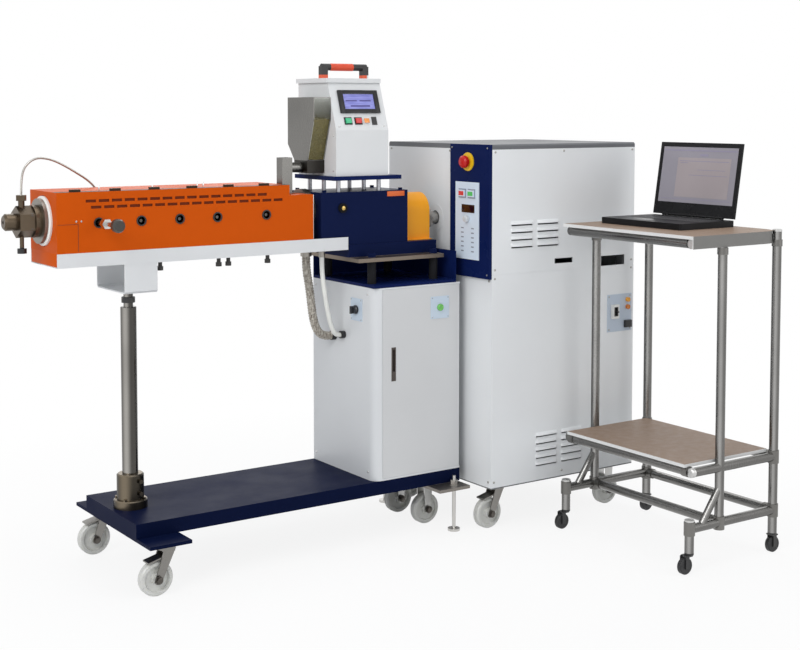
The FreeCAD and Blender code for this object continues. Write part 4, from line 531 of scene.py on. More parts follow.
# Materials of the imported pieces

OFF_WHITE = (0.81, 0.825, 0.835)
NAVY = (0.0055, 0.013, 0.075)
BLACK = (0.012, 0.012, 0.013)
PALE_BLUE = (0.72, 0.82, 0.93)
STEEL = (0.46, 0.45, 0.43)
ORANGE = (0.60, 0.088, 0.004)
PLATE_BLUE = (0.55, 0.64, 0.74)
FOOT_STEEL = (0.58, 0.57, 0.55)
FORK_ZINC = (0.48, 0.48, 0.47)
SOFT_BLACK = (0.03, 0.03, 0.03)
HANDLE_RED = (0.72, 0.085, 0.02)
LAPTOP_BLACK = (0.008, 0.008, 0.009)


def dress_drive_unit():
    dress("drive_casing", painted("casing_powder", OFF_WHITE, 0.42))
    dress("drive_roof", painted("roof_powder", (0.14, 0.145, 0.155), 0.4, shine=0.3))
    inner = painted("inner_grey", (0.10, 0.105, 0.11), 0.5)
    dress("drive_chassis", painted("chassis_grey", (0.16, 0.165, 0.17), 0.45, [
        ((-20, -20, -10), (640, 620, 143), (0.50, 0.50, 0.49), 0.34, METAL)]))  # fixed forks
    dress("drive_motor", inner)
    dress("control_panel", painted("panel_navy", NAVY, 0.28, shine=0.14))
    plates = [
        ((495, -5, 610), (615, 1, 745), (0.50, 0.57, 0.66), 0.36),  # terminal plate
        ((-40, 78, 1170), (-11, 142, 1236), (0.86, 0.56, 0.015), 0.35),  # stop disc
        ((-19, 70, 1036), (-15.2, 142, 1066), (0.012, 0.004, 0.006), 0.12),  # readout
        ((-21, 65, 1082), (-14.5, 160, 1118), (0.30, 0.33, 0.40), 0.3),  # key field
        ((512, -20, 655), (546, -2.2, 712), (0.72, 0.72, 0.70), 0.45),  # breaker block
        ((520, -17, 668), (538, -3, 700), SOFT_BLACK, 0.5),  # its slot
        ((578, -14, 710), (602, -2.2, 732), (0.82, 0.36, 0.03), 0.2),  # upper lamp
        ((578, -14, 684), (602, -2.2, 707), (0.62, 0.18, 0.02), 0.2),  # lower lamp
        ((570, -14, 620), (610, -2.2, 654), BLACK, 0.4),  # socket
    ]
    dress("operator_plates", painted("plate_pale_blue", PALE_BLUE, 0.36, plates))
    dress("estop_button", moulded("estop_red", (0.50, 0.010, 0.008), 0.3, shine=0.3))
    dress("start_button", lit("start_green", (0.05, 0.44, 0.11), 0.12,
                             within=((-30, 74.5, 1093), (-8, 101.5, 1107))))
    dress("stop_button", lit("stop_red", (0.55, 0.025, 0.04), 0.12,
                            within=((-30, 122.5, 1093), (-8, 149.5, 1107))))
    dress("mode_selector", moulded("selector_pale", (0.62, 0.64, 0.66), 0.3))
    dress("breaker_lever", moulded("lever_black", BLACK, 0.4))
    dress("drive_spindle", brushed("spindle_steel", STEEL, 0.3, (20, 1, 1)))


def dress_casters():
    fork = brushed("zinc_fork", (0.27, 0.26, 0.245), 0.3, (1, 1, 6), strength=0.08)
    nylon = moulded("wheel_nylon", (0.60, 0.60, 0.57), 0.36, 300.0, 0.1)
    plastic = nylon.node_tree.nodes["Principled BSDF"].inputs
    plastic["Subsurface Weight"].default_value = 0.15
    plastic["Subsurface Radius"].default_value = (0.004, 0.004, 0.003)
    for unit in ("drive", "carriage"):
        for end in ("front", "back"):
            dress(f"{unit}_fork_{end}", fork)
            dress(f"{unit}_wheel_{end}", nylon)
            dress(f"{unit}_fixed_wheel_{end}", nylon)
    black = moulded("wheel_black", BLACK, 0.5)
    dark_fork = moulded("fork_black", (0.02, 0.02, 0.021), 0.38)
    for side in ("near", "far"):
        dress(f"trolley_fork_{side}", dark_fork)
        dress(f"trolley_wheel_{side}", black)
        dress(f"trolley_fixed_wheel_{side}", black)


def dress_carriage():
    dress("carriage_base", painted("base_navy", (0.0035, 0.007, 0.032), 0.42, [
        ((-170, 40, 145), (-36, 575, 156.2), (0.24, 0.22, 0.20), 0.4, METAL),  # cross plate
        ((-145, 180, -5), (-55, 260, 145.8), FORK_ZINC, 0.34, METAL),  # near fork
        ((-145, 340, -5), (-55, 430, 145.8), FORK_ZINC, 0.34, METAL),  # far fork
        *[((-95, y, -5), (-30, y + 120, 145.8), FOOT_STEEL, 0.28, METAL) for y in (60, 440)],
        *[((-95, y, 156.3), (-45, y + 30, 190), FOOT_STEEL, 0.28, METAL) for y in (90, 494)]],
        shine=0.12))
    # The column's flanks get a painted dark reflection.
    dress("support_column", brushed("column_steel", (0.40, 0.385, 0.36), 0.14, (1, 1, 0.04), [
        ((-1140, 280, 806), (-1085, 335, 824), (0.03, 0.03, 0.032), 0.4),  # nut
        ((-1170, 250, 198), (-1055, 365, 301), (0.20, 0.165, 0.12), 0.3, METAL)],  # sleeve
        strength=0.02, flanks=0.85))
    dress("cabinet_shell", painted("cabinet_powder", (0.70, 0.715, 0.73), 0.36, [
        ((-373, 190, 699), (-369.3, 258, 773), PLATE_BLUE, 0.36),  # switch plate
        ((-390, 335, 615), (-369.3, 380, 655), BLACK, 0.4),  # far hose socket
        ((-390, 284, 630), (-369.3, 314, 662), BLACK, 0.4)]))  # near hose socket
    dress("cabinet_door", painted("door_powder", (0.64, 0.645, 0.65), 0.36, [
        ((-153, 119, 698), (-79, 122.8, 772), PLATE_BLUE, 0.36),  # lamp plate
        ((-304, 118, 513), (-287, 136, 621), (0.055, 0.042, 0.036), 0.4)]))  # handle
    dress("cabinet_button", lit("lamp_green", (0.10, 0.40, 0.06), 0.05))
    dress("cabinet_selector", moulded("selector_dark", (0.02, 0.022, 0.026), 0.35))
    dress("gearbox_case", painted("gearbox_navy", (0.006, 0.0115, 0.052), 0.3, [
        ((-412, 148, 892.5), (-76, 466, 905.5), (0.20, 0.165, 0.135), 0.4, METAL),  # base plate
        ((-420, 140, 821), (-60, 475, 892.4), (0.018, 0.018, 0.02), 0.45),  # jacks
        ((-450, 195, 1045), (-414, 209.8, 1082), BLACK, 0.4)], shine=0.12))
    dress("gearbox_tray", painted("tray_navy", NAVY, 0.28, shine=0.14))
    dress("feeder_stand", painted("stand_navy", NAVY, 0.3, [
        ((-480, 180, 1100), (-210, 440, 1149.6), (0.42, 0.43, 0.46), 0.3, METAL)], shine=0.14))
    dress("input_shaft", brushed("shaft_steel", STEEL, 0.32, (20, 1, 1)))
    for node in ("near_screw", "far_screw", "feeder_auger"):
        dress(node, brushed(node + "_steel", (0.52, 0.51, 0.49), 0.22, (20, 1, 1)))
    dress("coupling_guard", painted("guard_yellow", (1.0, 0.41, 0.02), 0.34, shine=0.3))
    dress("barrel", brushed("barrel_steel", (0.30, 0.28, 0.25), 0.38, (1, 20, 20)))
    dress("barrel_cover", painted("cover_orange", ORANGE, 0.42, [
        ((-1400, 190, 1141.8), (-600, 240, 1152), (0.05, 0.035, 0.025), 0.4),  # clips
        ((-1160, 411.2, 1050), (-1120, 425, 1080), (0.40, 0.36, 0.30), 0.35, METAL)],  # gland
        shine=0.19))
    dress("barrel_channel", painted("channel_powder", (0.70, 0.71, 0.72), 0.38, [
        ((-1060, 205, 900), (-680, 245, 930.8), (0.02, 0.018, 0.016), 0.4),  # drains
        ((-515, 255, 900), (-450, 345, 930.8), (0.35, 0.33, 0.30), 0.35, METAL)]))  # hose outlets
    dress("die_head", brushed("die_bronze", (0.13, 0.10, 0.07), 0.3, (1, 6, 6), [
        ((-1450, 288, 940), (-1410, 326, 986), BLACK, 0.45),  # stem's lower end
        ((-1270, 88, 1030), (-1218, 170, 1080), (0.62, 0.62, 0.61), 0.22, METAL),  # transducer
        ((-1270, 50, 1030), (-1218, 88, 1080), (0.04, 0.036, 0.03), 0.22)]))  # its cap


def reshaped(name, node, move):
    """Stand a piece for a packed one, with some of its corners moved."""
    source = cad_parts[node]
    mesh = source.data.copy()
    piece = linked(name, mesh)
    into = source.matrix_world.copy()
    back = into.inverted()
    for vertex in mesh.vertices:
        vertex.co = back @ move(into @ vertex.co)
    piece.matrix_world = into
    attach(piece, "carriage")
    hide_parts(node)
    for slot in piece.material_slots:
        slot.material = source.material_slots[0].material


def lid_fold(spot):
    """Draw the lid's overhang in to a narrow rim."""
    housing_side, lid_foot, drawn_in = at(-500, 0, 0).x, 1.45, 0.053
    if spot.x < housing_side and spot.z > lid_foot:
        spot.x += drawn_in
    return spot


def hopper_fold(spot):
    """Let the hopper's near wall lean in from higher up, over the pellets."""
    low, high, raised = at(0, 229, 1261), at(0, 233, 1340), 0.08
    if low.y < spot.y < high.y and low.z < spot.z < high.z:
        spot.z += raised
    return spot


def dress_feeder():
    zones = [
        ((-385, 305, 1470.4), (-345, 345, 1530), HANDLE_RED, 0.38),  # handle's middle
        ((-405, 305, 1490), (-320, 350, 1530), HANDLE_RED, 0.38),  # handle's grip
        ((-450, 300, 1470.4), (-270, 350, 1482), HANDLE_RED, 0.38),  # handle's feet
        ((-450, 300, 1482), (-405, 350, 1530), BLACK, 0.42),  # left elbow
        ((-320, 300, 1482), (-255, 350, 1530), BLACK, 0.42),  # right elbow
    ]
    dress("feeder_housing", painted("feeder_powder", (0.72, 0.73, 0.735), 0.34, zones))
    steel = brushed("hopper_steel", (0.20, 0.195, 0.185), 0.26, (1, 1, 0.06), [
        ((-530, 225, 1150), (-455, 395, 1211.8), (0.045, 0.042, 0.038), 0.4, METAL),  # chute
        ((-521.5, 232.3, 1214), (-462.5, 389.5, 1411), (0.66, 0.66, 0.64), 0.35)],  # inside
        strength=0.08, clear=((-520.5, 229, 1214), (-463.5, 300, 1408)))
    dress("feeder_hopper", steel)
    reshaped("hopper_box", "feeder_hopper", hopper_fold)
    reshaped("feeder_shell", "feeder_housing", lid_fold)
    dress("feeder_run_button", lit("run_green", (0.03, 0.40, 0.18), 0.15))
    dress("feeder_stop_button", lit("halt_red", (0.50, 0.02, 0.02), 0.15))
    dress("feeder_power_switch", moulded("rocker_black", BLACK, 0.35))


def dress_trolley():
    # The pipes' flanks get a painted dark reflection.
    pipe = brushed("pipe_aluminium", (0.40, 0.395, 0.385), 0.24, (1, 1, 0.05), [  # fixed forks
        ((600, y, 0), (640, y + 70, 61.5), SOFT_BLACK, 0.4) for y in (-660, -110)],
        strength=0.008, flanks=0.6)
    dress("trolley_frame", pipe)
    board = Surface("board_laminate")
    specks = board.noise(700.0, 3.0)
    brown = board.blend(board.spread(specks, 0.0, 1.0), (0.215, 0.140, 0.095),
                        (0.315, 0.220, 0.155))
    table_high = board.inside((200, -700, 960), (700, 0, 1010))
    apron = board.math("MULTIPLY", board.facing((0, -1, 0), 0.5), table_high)
    edge = board.blend(apron, (0.74, 0.74, 0.73), (0.19, 0.185, 0.175))
    board.put("Base Color", board.blend(board.facing((0, 0, 1), 0.9), edge, brown))
    board.roughen(40.0, 0.42, 0.55)
    board.bump(specks, 0.08, 0.0003)
    dress("trolley_boards", board.material)
    dress("laptop_base", moulded("laptop_shell", LAPTOP_BLACK, 0.34, 1500.0, 0.1, 0.15))
    dress("laptop_lid", moulded("laptop_bezel", LAPTOP_BLACK, 0.28, 1500.0, 0.08, 0.15))


# Cords

def route_curve(name, points, radius=0.0):
    """Draw a cord's smooth line through the pull of its route's points."""
    data = bpy.data.curves.new(name, "CURVE")
    data.dimensions = "3D"
    spline = data.splines.new("NURBS")
    spline.points.add(len(points) - 1)
    for knot, point in zip(spline.points, points):
        knot.co = (*at(*point), 1)
    spline.order_u = 3
    spline.use_endpoint_u = True
    data.bevel_depth = radius / 1000
    data.resolution_u = 24
    return data


def sampled(points, pitch):
    """Read evenly spaced points along a route's own smooth line, in metres."""
    data = route_curve("route", points)
    holder = bpy.data.objects.new("route", data)
    mesh = bpy.data.meshes.new_from_object(holder)
    line = [vertex.co.copy() for vertex in mesh.vertices]
    bpy.data.objects.remove(holder)
    bpy.data.meshes.remove(mesh)
    lengths = [0.0]
    for first, second in zip(line, line[1:]):
        lengths.append(lengths[-1] + (second - first).length)
    count = max(2, round(lengths[-1] / pitch))
    spots = []
    index = 0
    for step in range(count + 1):
        goal = lengths[-1] * step / count
        while index < len(line) - 2 and lengths[index + 1] < goal:
            index += 1
        share = (goal - lengths[index]) / max(1e-9, lengths[index + 1] - lengths[index])
        spots.append(line[index].lerp(line[index + 1], share))
    return spots, line, lengths[-1]


def ribbed_tube(name, points, radius, rib, pitch, material, sides):
    """Make a hose whose radius swells and shrinks along its line, as a wound hose does."""
    spots, line, length = sampled(points, pitch / 4000)
    shape = bmesh.new()
    side = Vector((0, 1, 0))
    loops = []
    for index, spot in enumerate(spots):
        ahead = (spots[min(index + 1, len(spots) - 1)] - spots[max(index - 1, 0)]).normalized()
        side = (side - ahead * side.dot(ahead)).normalized()
        other = ahead.cross(side)
        swell = (radius - rib * (0.0, 0.5, 1.0, 0.5)[index % 4]) / 1000
        loops.append([shape.verts.new(spot + (side * math.cos(turn) + other * math.sin(turn))
                                      * swell)
                      for turn in (2 * math.pi * step / sides for step in range(sides))])
    add_tube(shape, loops)
    return finish_mesh(name, shape, material, "carriage"), line, length


DIE_STEM_X = -1430
CONDUIT = [(DIE_STEM_X, 307, 1133), (DIE_STEM_X, 307, 1172), (DIE_STEM_X + 10, 309, 1212),
           (DIE_STEM_X + 44, 313, 1237), (DIE_STEM_X + 92, 325, 1232),
           (DIE_STEM_X + 140, 343, 1212), (DIE_STEM_X + 188, 369, 1188),
           (DIE_STEM_X + 236, 401, 1164), (-1154, 435, 1134), (-1140, 445, 1104),
           (-1140, 441, 1078), (-1140, 431, 1066), (-1140, 419, 1066)]
CORRUGATED = [(-495, 327, 905), (-495, 327, 866), (-483, 331, 816), (-473, 335, 762),
              (-463, 341, 708), (-445, 349, 662), (-415, 357, 636), (-385, 357, 636)]
WHITE = [(-469, 273, 905), (-469, 273, 868), (-461, 277, 820), (-449, 283, 768),
         (-435, 289, 716), (-421, 295, 676), (-403, 299, 646), (-385, 299, 646)]


def cords():
    armour = brushed("conduit_armour", (0.50, 0.48, 0.45), 0.32)
    conduit, line, length = ribbed_tube("conduit_sleeve", CONDUIT, 3.5, 0.7, 4.0, armour, 12)
    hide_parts("sensor_conduit")
    woven = Surface("hose_weave")
    bands = woven.noise(260.0, 2.0, (1, 1, 0.25))
    woven.tint(bands, (0.17, 0.14, 0.11), (0.62, 0.58, 0.51))
    woven.roughen(120.0, 0.45, 0.62)
    woven.bump(bands, 0.4, 0.0006)
    hose, line, length = ribbed_tube("corrugated_sleeve", CORRUGATED, 14, 1.8, 9.0,
                                     woven.material, 20)
    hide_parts("corrugated_hose")
    smooth = moulded("hose_milky", (0.80, 0.80, 0.76), 0.35, 500.0, 0.08)
    data = route_curve("white_sleeve", WHITE, 7.5)
    data.use_fill_caps = True
    data.bevel_resolution = 6
    tube = linked("white_sleeve", data)
    data.materials.append(smooth)
    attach(tube, "carriage")
    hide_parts("white_hose")
    length = sampled(WHITE, 0.01)[2]


# Details

CASING_ROWS = (1236, 858, 830, 168)
AWAY_FROM_FRONT, AWAY_FROM_SIDE = (-1, 0, 0), (0, -1, 0)


def drive_details():
    steel = brushed("screw_steel", (0.45, 0.44, 0.42), 0.35)
    for name, places, direction, radius in (
            ("casing_side_screws", [(x, 0, z) for x in (12, 608) for z in CASING_ROWS]
             + [(300, 0, 1236), (300, 0, 168)], AWAY_FROM_SIDE, 4),
            ("casing_front_screws", [(0, y, z) for y in (226, 570) for z in CASING_ROWS]
             + [(0, 14, 822), (0, 14, 168)], AWAY_FROM_FRONT, 4),
            ("casing_back_screws", [(x, 585, z) for x in (12, 608) for z in CASING_ROWS],
             (0, 1, 0), 4),
            ("casing_rear_screws", [(620, y, z) for y in (14, 570) for z in CASING_ROWS],
             (1, 0, 0), 4),
            ("terminal_screws", [(x, -2, z) for x in (506, 603) for z in (622, 735)],
             AWAY_FROM_SIDE, 3),
            ("panel_screws", [(-12, y, z) for y in (10, 198) for z in (842, 1248)],
             AWAY_FROM_FRONT, 3)):
        screws(name, places, direction, steel, radius, "drive_unit")
    louvers()
    rings("spindle_seal", [(0, AXIS_SIDE, 1009.6)], AWAY_FROM_FRONT, (45.5, 23, 1.2),
          bpy.data.materials["casing_powder"], 40, "drive_unit")
    marks = []
    for z in range(985, 895, -15):
        for y in (138, 84):
            marks.append(((-14.3, y - 7, z), (-13.9, y + 7, z + 4)))
    blocks("operator_marks", marks, moulded("legend_grey", (0.25, 0.28, 0.34), 0.5),
           0, "drive_unit")
    glass = moulded("readout_glass", (0.022, 0.003, 0.005), 0.12, shine=0.4)
    blocks("readout_window", [((-16.6, 77, 1042), (-15.9, 135, 1060))], glass, 0.3,
           "drive_unit")


def louvers():
    """Press a hood out of the casing over each ventilation slot."""
    shape = bmesh.new()
    rows = [(80, 924, 4), (190, 924, 4), (189, 196, 5), (299, 196, 5)]
    for start, bottom, count in rows:
        for row in range(count):
            add_hood(shape, start - 3, start + 91, bottom + row * 24 + 8)
    finish_mesh("casing_louver_hoods", shape, bpy.data.materials["casing_powder"],
                "drive_unit")


def add_hood(shape, left, right, foot):
    """Add one hood: a lip that stands out over the slot and fades into the wall above."""
    profile = [(0.0, 9.0), (2.2, 6.0), (4.4, 2.0), (5.2, -2.5), (4.6, -3.0), (3.6, 1.5),
               (0.0, 7.0)]
    lines = []
    for x, share in ((left, 0.0), (left + 5, 0.75), (left + 9, 1.0), (right - 9, 1.0),
                     (right - 5, 0.75), (right, 0.0)):
        lines.append([shape.verts.new(at(x, -0.05 - out * share, foot + rise))
                      for out, rise in profile])
    for first, second in zip(lines, lines[1:]):
        add_strip(shape, first, second, closed=False, turned=True)


# The side wall and the lid of the barrel's cover, and its ports along x
COVER_SIDE, COVER_TOP = 203, 1142
PORTS = (1244, 1115, 994, 872, 707)
BOLT_CIRCLE = 38


def extruder_details():
    steel = bpy.data.materials["screw_steel"]
    lathes("end_insulation", [(51, 0), (70.5, 0), (70.5, 9), (66, 12), (51, 12)],
           [(-1363, AXIS_SIDE, SCREW_HEIGHT)], AWAY_FROM_FRONT,
           moulded("insulation_white", (0.78, 0.77, 0.74), 0.8, 250.0, 0.6), 48)
    rings("port_grommets", [(-x, COVER_SIDE, 1054) for x in PORTS], AWAY_FROM_SIDE,
          (15, 11.5, 2.4), moulded("grommet_black", BLACK, 0.5))
    dark = brushed("bolt_dark", (0.12, 0.11, 0.10), 0.35)
    lathes("port_plugs", [(6, 0), (6, 32), (4.5, 34)], [(-x, 240, 1054) for x in PORTS[1:]],
           AWAY_FROM_SIDE, dark, 16)
    # Dark red-brown sheets behind the cover's slots are painted shade, in place of the shadowed
    # inside of the cover.
    blocks("cover_slot_shade", [((-1290, y, 1088), (-640, y + 1.5, 1124)) for y in (206, 406.5)],
           moulded("slot_shade_brown", (0.15, 0.028, 0.009), 0.9, shine=0.1), 0)
    blocks("cover_skirt", [((-1367, 204, 931), (-1364.6, 410, 974))],
           bpy.data.materials["cover_orange"], 0.4)
    blocks("access_panel", [((-1305.6, 202.4, 975), (-1304.4, 203.2, 1052)),
                            ((-1364, 202.4, 1051.4), (-1304.4, 203.2, 1052.6))],
           moulded("seam_shadow", (0.16, 0.03, 0.006), 0.6), 0)
    screws("access_screws", [(x, COVER_SIDE, 1060) for x in (-1311, -1296)], AWAY_FROM_SIDE,
           steel, 3)
    lathes("cover_pins", [(2, 0), (2, 13), (1.2, 15)],
           [(-x, 270, COVER_TOP) for x in (1215, 1050, 905, 885)], (0, 0, 1), steel, 10)
    blocks("cover_end_trim", [((-541.6, 204, 972), (-539.6, 410, 1109))],
           brushed("trim_steel", (0.55, 0.55, 0.54), 0.3, (1, 1, 0.05)), 0.4)
    lathes("oil_cap_centre", [(6.5, -0.5), (6.5, 1.6), (4, 2.4)], [(-432, 202, 1063)],
           AWAY_FROM_SIDE, brushed("brass_centre", (0.66, 0.46, 0.15), 0.3), 20)
    blocks("case_tag", [((-262, 207.6, 1094), (-196, 209.9, 1110))],
           painted("tag_orange", (0.72, 0.13, 0.02), 0.4), 0.3)
    screws("tray_screws", [(-50, y, z) for y in (150, 200) for z in (835, 890)], (1, 0, 0),
           steel, 3.5)
    screws("cabinet_side_screws", [(-369, y, z) for y in (160, 475) for z in (225, 790)],
           AWAY_FROM_FRONT, steel, 3.5)
    screws("switch_plate_screws", [(-371, y, z) for y in (196, 252) for z in (705, 767)],
           AWAY_FROM_FRONT, steel, 2)
    screws("door_plate_screws", [(x, 121, z) for x in (-147, -85) for z in (704, 766)],
           AWAY_FROM_SIDE, steel, 2, "cabinet_door")
    turns = [math.radians(30 + 60 * turn) for turn in range(6)]
    rings("die_bolt_heads", [(-1409, AXIS_SIDE + BOLT_CIRCLE * math.cos(turn),
                              SCREW_HEIGHT + BOLT_CIRCLE * math.sin(turn)) for turn in turns],
          AWAY_FROM_FRONT, (6.5, 3.0, 6), dark)


# The feeder's sloped face: where its lower left corner is, and how far it leans
SLOPE_CORNER = (-460, 200, 1307)
SLOPE = math.atan2(50, 149)


def on_slope(across, up, out):
    """Give a place on the feeder's sloped face, out from it, in millimetres."""
    x, y, z = SLOPE_CORNER
    return (x + across, y + up * math.sin(SLOPE) - out * math.cos(SLOPE),
            z + up * math.cos(SLOPE) + out * math.sin(SLOPE))


def sloped_blocks(name, spans, material, bevel=0.5):
    """Make blocks square to the sloped face, from (across, up, out) to (across, up, out)."""
    shape = bmesh.new()
    for low, high in spans:
        points = [shape.verts.new(at(*on_slope(across, up, out))) for across in
                  (low[0], high[0]) for up in (low[1], high[1]) for out in (low[2], high[2])]
        for face in ((0, 1, 3, 2), (4, 6, 7, 5), (0, 4, 5, 1), (2, 3, 7, 6), (0, 2, 6, 4),
                     (1, 5, 7, 3)):
            shape.faces.new([points[index] for index in face])
    bmesh.ops.recalc_face_normals(shape, faces=shape.faces)
    finish_mesh(name, shape, material, "carriage", bevel)


def bars(left, low, right, high, across, up, out):
    """List the four bars of a frame on the sloped face: their widths and how far they rise."""
    return [((left, low, 0), (left + across, high, out)),
            ((right - across, low, 0), (right, high, out)),
            ((left + across, low, 0), (right - across, low + up, out)),
            ((left + across, high - up, 0), (right - across, high, out))]


def feeder_details():
    black = moulded("bezel_black", BLACK, 0.3, shine=0.3)
    across, up, width, height = 28, 56, 146, 74
    sloped_blocks("display_bezel", bars(across - 0.6, up - 0.6, across + width + 0.6,
                                        up + height + 0.6, 16.6, 12.6, 7), black)
    screen = Surface("display_glow")
    screen.tint(screen.noise(55.0, 1.0, (0.4, 1, 3)), (0.16, 0.17, 0.50), (0.28, 0.29, 0.66))
    screen.put("Emission Color", (0.25, 0.26, 0.62))
    screen.put("Emission Strength", 0.12)
    screen.put("Roughness", 0.12)
    sloped_blocks("display_screen", [((across + 15, up + 11, 3.2),
                                      (across + width - 15, up + height - 11, 4.2))],
                  screen.material, 0)
    sloped_blocks("display_lines", [
        ((across + 24, up + 38, 4.2), (across + 66, up + 42, 4.5)),
        ((across + 76, up + 38, 4.2), (across + 118, up + 42, 4.5)),
        ((across + 40, up + 20, 4.2), (across + 112, up + 25, 4.5))],
        moulded("display_ink", (0.06, 0.05, 0.22), 0.3), 0)
    sloped_blocks("lamp_amber_cap", [((108.6, 22.6, 3.5), (127.4, 37.4, 5.6))],
                  lit("lamp_amber", (0.66, 0.22, 0.03), 0.12), 0.8)
    for name, x in (("run", 50), ("halt", 88)):
        sloped_blocks(f"{name}_key_frame", bars(x - 14, 18, x + 14, 42, 3.4, 3.4, 2), black, 0.4)
    steel = bpy.data.materials["screw_steel"]
    screws("feeder_face_screws", [on_slope(x, 12, 0) for x in (14, 182)],
           (0, -math.cos(SLOPE), math.sin(SLOPE)), steel, 3)
    screws("feeder_side_screws", [(-460, y, z) for y in (215, 415) for z in (1180, 1290)],
           AWAY_FROM_FRONT, steel, 3)
    lathes("handle_grip", [(9, 0), (11.9, 1.5), (11.9, 82.5), (9, 84)], [(-403, 326.5, 1507)],
           (1, 0, 0), moulded("grip_red", (0.62, 0.055, 0.012), 0.42, 500.0, 0.3))
    pellets()


# The inside of the hopper: its walls, the near wall's lean (start, fall, way in), and the two
# heights below the heap where the walls change
HOPPER_LEFT, HOPPER_RIGHT = -520.6, -463.4
HOPPER_NEAR, HOPPER_FAR = 232.6, 388.4
LEAN_NEAR, LEAN_START, LEAN_FALL, LEAN_IN = 233.5, 1340, 128, 40
WAIST, WAIST_NEAR = 1263, 257.5
THROAT, THROAT_FAR = 1214, 348.5
HEAP_ROWS, HEAP_COLUMNS = 12, 20
PELLETS_ON_TOP, PELLETS = 260, 620


def squeezed(spot, height):
    """Bring a corner of the heap down to a height within the hopper's leaning walls."""
    far = THROAT_FAR if height == THROAT else HOPPER_FAR
    near = LEAN_NEAR + LEAN_IN * (LEAN_START - height) / LEAN_FALL
    y = spot.y * 1000 - FOOTPRINT_Y
    start = WAIST_NEAR if spot.z * 1000 < WAIST + 1 else HOPPER_NEAR
    share = min(1.0, max(0.0, (y - start) / (HOPPER_FAR - start)))
    return at(spot.x * 1000 - FOOTPRINT_X, near + (far - near) * share, height)


def pellets():
    """Fill the hopper with a heap of cut pellets behind its window."""
    olive = Surface("pellet_olive")
    olive.tint(olive.noise(350.0, 2.0), (0.085, 0.070, 0.022), (0.20, 0.165, 0.060))
    olive.roughen(200.0, 0.35, 0.55)
    shape = bmesh.new()
    deep, wide = HOPPER_FAR - HOPPER_NEAR, HOPPER_RIGHT - HOPPER_LEFT
    grid = []
    for row in range(HEAP_ROWS + 1):
        y = HOPPER_NEAR + deep * row / HEAP_ROWS
        line = []
        for column in range(HEAP_COLUMNS + 1):
            x = HOPPER_LEFT + wide * column / HEAP_COLUMNS
            slope = (y - HOPPER_NEAR) / deep
            top = LEAN_START + 12 * slope + random.uniform(-1.2, 1.2)
            line.append(shape.verts.new(at(x, y, top)))
        grid.append(line)
    for first, second in zip(grid, grid[1:]):
        add_strip(shape, first, second, closed=False)
    skirt = [grid[0], [line[-1] for line in grid], list(reversed(grid[-1])),
             [line[0] for line in reversed(grid)]]
    for edge in skirt:
        for height in (WAIST, THROAT):
            low = [shape.verts.new(squeezed(v.co, height)) for v in edge]
            add_strip(shape, edge, low, closed=False, turned=True)
            edge = low
    for index in range(PELLETS):
        x = random.uniform(HOPPER_LEFT + 2, HOPPER_RIGHT - 2)
        share = random.random()
        if index < PELLETS_ON_TOP:
            place = (x, HOPPER_NEAR + 2 + share * (deep - 4), 1341 + 12 * share)
        else:
            place = (x, HOPPER_NEAR + 1.6 + 39 * share, 1338 - 122 * share)
        direction = Vector((random.uniform(-1, 1), random.uniform(-1, 1),
                            random.uniform(-0.6, 0.6)))
        add_lathe(shape, [(1.4, -1.4), (1.4, 1.4)], place, direction, 8)
    finish_mesh("hopper_pellets", shape, olive.material, "carriage", smooth=False)


# The trolley's posts: their two sides, and where they stand
POST_SIDES = (-626, -77)
FRONT_POST, BACK_POST, FOOT_POST = 378, 617, 253


def trolley_details():
    joint = brushed("joint_grey", (0.21, 0.205, 0.195), 0.38)
    shape = bmesh.new()
    for y in POST_SIDES:
        for x, z in ((FRONT_POST, 132), (BACK_POST, 132), (BACK_POST, 300), (FOOT_POST, 134)):
            add_ring(shape, (x, y, z - 20), (0, 0, 1), 16.8, 14.1, 40)
        for x, z in ((BACK_POST, 964), (FRONT_POST, 952)):
            add_ring(shape, (x, y, z - 10), (0, 0, 1), 16.4, 14.1, 20)
    finish_mesh("pipe_joints", shape, joint, "trolley")
    shape = bmesh.new()
    for y in (-604, -99):
        for x, z in ((FRONT_POST, 132), (BACK_POST, 132), (BACK_POST, 300), (262, 300)):
            add_ring(shape, (x, y - 11, z), (0, 1, 0), 16.6, 14.1, 22)
    finish_mesh("rail_joints", shape, joint, "trolley")
    shape = bmesh.new()
    deep_cap, flat_cap = [(14.6, -3), (14.6, 9), (12, 11)], [(14.6, -3), (14.6, 2.4), (12, 4)]
    near = POST_SIDES[0]
    for profile, place, direction in (
            (deep_cap, (262, -617, 978), (-1, 0, 0)), (deep_cap, (262, near, 300), (-1, 0, 0)),
            (flat_cap, (BACK_POST, near, 1002), (0, 0, 1)),
            (flat_cap, (FOOT_POST, near, 158), (0, 0, 1)),
            (flat_cap, (FOOT_POST, POST_SIDES[1], 158), (0, 0, 1))):
        add_lathe(shape, profile, place, direction, 28)
    finish_mesh("pipe_caps", shape, brushed("cap_silver", (0.62, 0.62, 0.61), 0.3), "trolley")
    laptop_details()


def axle_nuts():
    """Put a nut and a washer on each end of the large casters' axles."""
    dark = bpy.data.materials["bolt_dark"]
    places = {
        "carriage": [(-100, 229), (-100, 385)], "drive_unit": [(560, 70), (560, 515)],
        "carriage_fork_front": [(-1138, 83)], "carriage_fork_back": [(-1138, 534)],
        "drive_fork_front": [(40, 70)], "drive_fork_back": [(40, 515)]}
    for body, axles in places.items():
        shape = bmesh.new()
        for x, y in axles:
            for way in (-1, 1):
                spot = (x, y + 27 * way, 50)
                add_lathe(shape, [(12, -0.3), (12, 1.6)], spot, (0, way, 0), 20)
                add_lathe(shape, [(9, 1.2), (9, 6.4), (7.6, 7.2)], spot, (0, way, 0), 6)
        finish_mesh(body + "_axle_nuts", shape, dark, body)


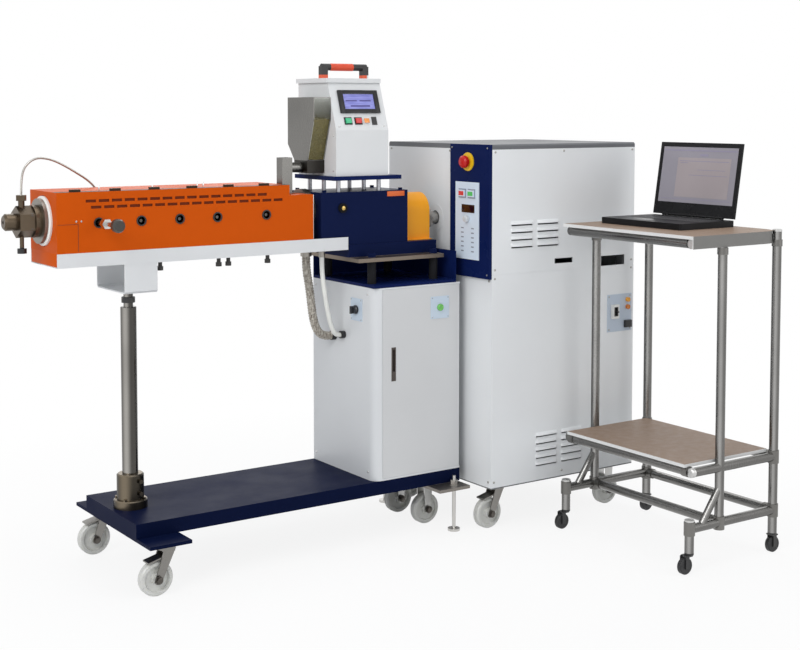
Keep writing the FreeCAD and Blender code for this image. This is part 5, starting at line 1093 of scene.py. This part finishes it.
def laptop_details():
    key = moulded("key_black", (0.016, 0.016, 0.018), 0.5, 1200.0, 0.1)
    shape = bmesh.new()
    base_x, base_y, top = 455, -452, 1020.5
    for row in range(6):
        x = base_x + 3 + row * 17.6
        count = 15 if row < 5 else 9
        width = 319 / count
        for column in range(count):
            y = base_y + 1 + column * width
            add_box(shape, (x, y, top), (x + 15.4, y + width - 2.2, top + 2.2))
    finish_mesh("laptop_keys", shape, key, "trolley", 0.6)
    pad = moulded("pad_dark", (0.022, 0.022, 0.024), 0.3)
    blocks("laptop_pad", [((375, -335, 1021.8), (432, -240, 1022.5))], pad, 0.3, "trolley")


LID_HINGE = (596, -470, 1026.3)
LID_LEAN = math.radians(99)


def lid_point(along, across, out):
    """Give a place on the open lid: up from the hinge, across, and out from its face."""
    hinge_x, hinge_y, hinge_z = LID_HINGE
    x = hinge_x - along * math.cos(LID_LEAN) + -out * math.sin(LID_LEAN)
    z = hinge_z + along * math.sin(LID_LEAN) + -out * math.cos(LID_LEAN)
    return (x, hinge_y + across, z)


def lid_panel(name, spans, material):
    """Add thin sheets on the open lid's face, each from (up, across) to (up, across)."""
    shape = bmesh.new()
    for low, high, out in spans:
        front, back = ([shape.verts.new(at(*lid_point(u, v, level))) for u, v in
                        ((low[0], low[1]), (low[0], high[1]), (high[0], high[1]),
                         (high[0], low[1]))] for level in (out, out - 0.5))
        shape.faces.new(front)
        shape.faces.new(list(reversed(back)))
        add_strip(shape, front, back, turned=True)
    bmesh.ops.recalc_face_normals(shape, faces=shape.faces)
    finish_mesh(name, shape, material, "laptop_lid", smooth=False)


def glowing(name, colour):
    made = Surface(name)
    made.tint(made.noise(6.0), colour, toned(colour, 0.9))
    made.put("Roughness", 0.2)
    made.put("Emission Color", colour)
    made.put("Emission Strength", 0.2)
    return made.material


def laptop_screen():
    lid_panel("screen_backdrop", [((41, 15), (225, 340), -0.4)],
              glowing("screen_violet", (0.25, 0.235, 0.27)))
    lid_panel("screen_window", [((60, 40), (190, 270), 0.0)],
              glowing("screen_window", (0.31, 0.27, 0.28)))
    lid_panel("screen_rules", [
        ((212, 20), (216, 336), 0.1), ((178, 48), (180, 262), 0.3), ((150, 60), (151.5, 180), 0.3),
        ((132, 48), (133.5, 215), 0.3), ((52, 24), (53.5, 330), 0.1),
        ((196, 140), (203, 175), 0.1), ((172, 225), (174, 258), 0.4)],
        glowing("screen_lines", (0.24, 0.22, 0.30)))


# Run

studio_camera()
studio_world()
studio_floor()
studio_lights()
dress_drive_unit()
dress_casters()
dress_carriage()
dress_feeder()
dress_trolley()
cords()
drive_details()
extruder_details()
feeder_details()
trolley_details()
axle_nuts()
laptop_screen()
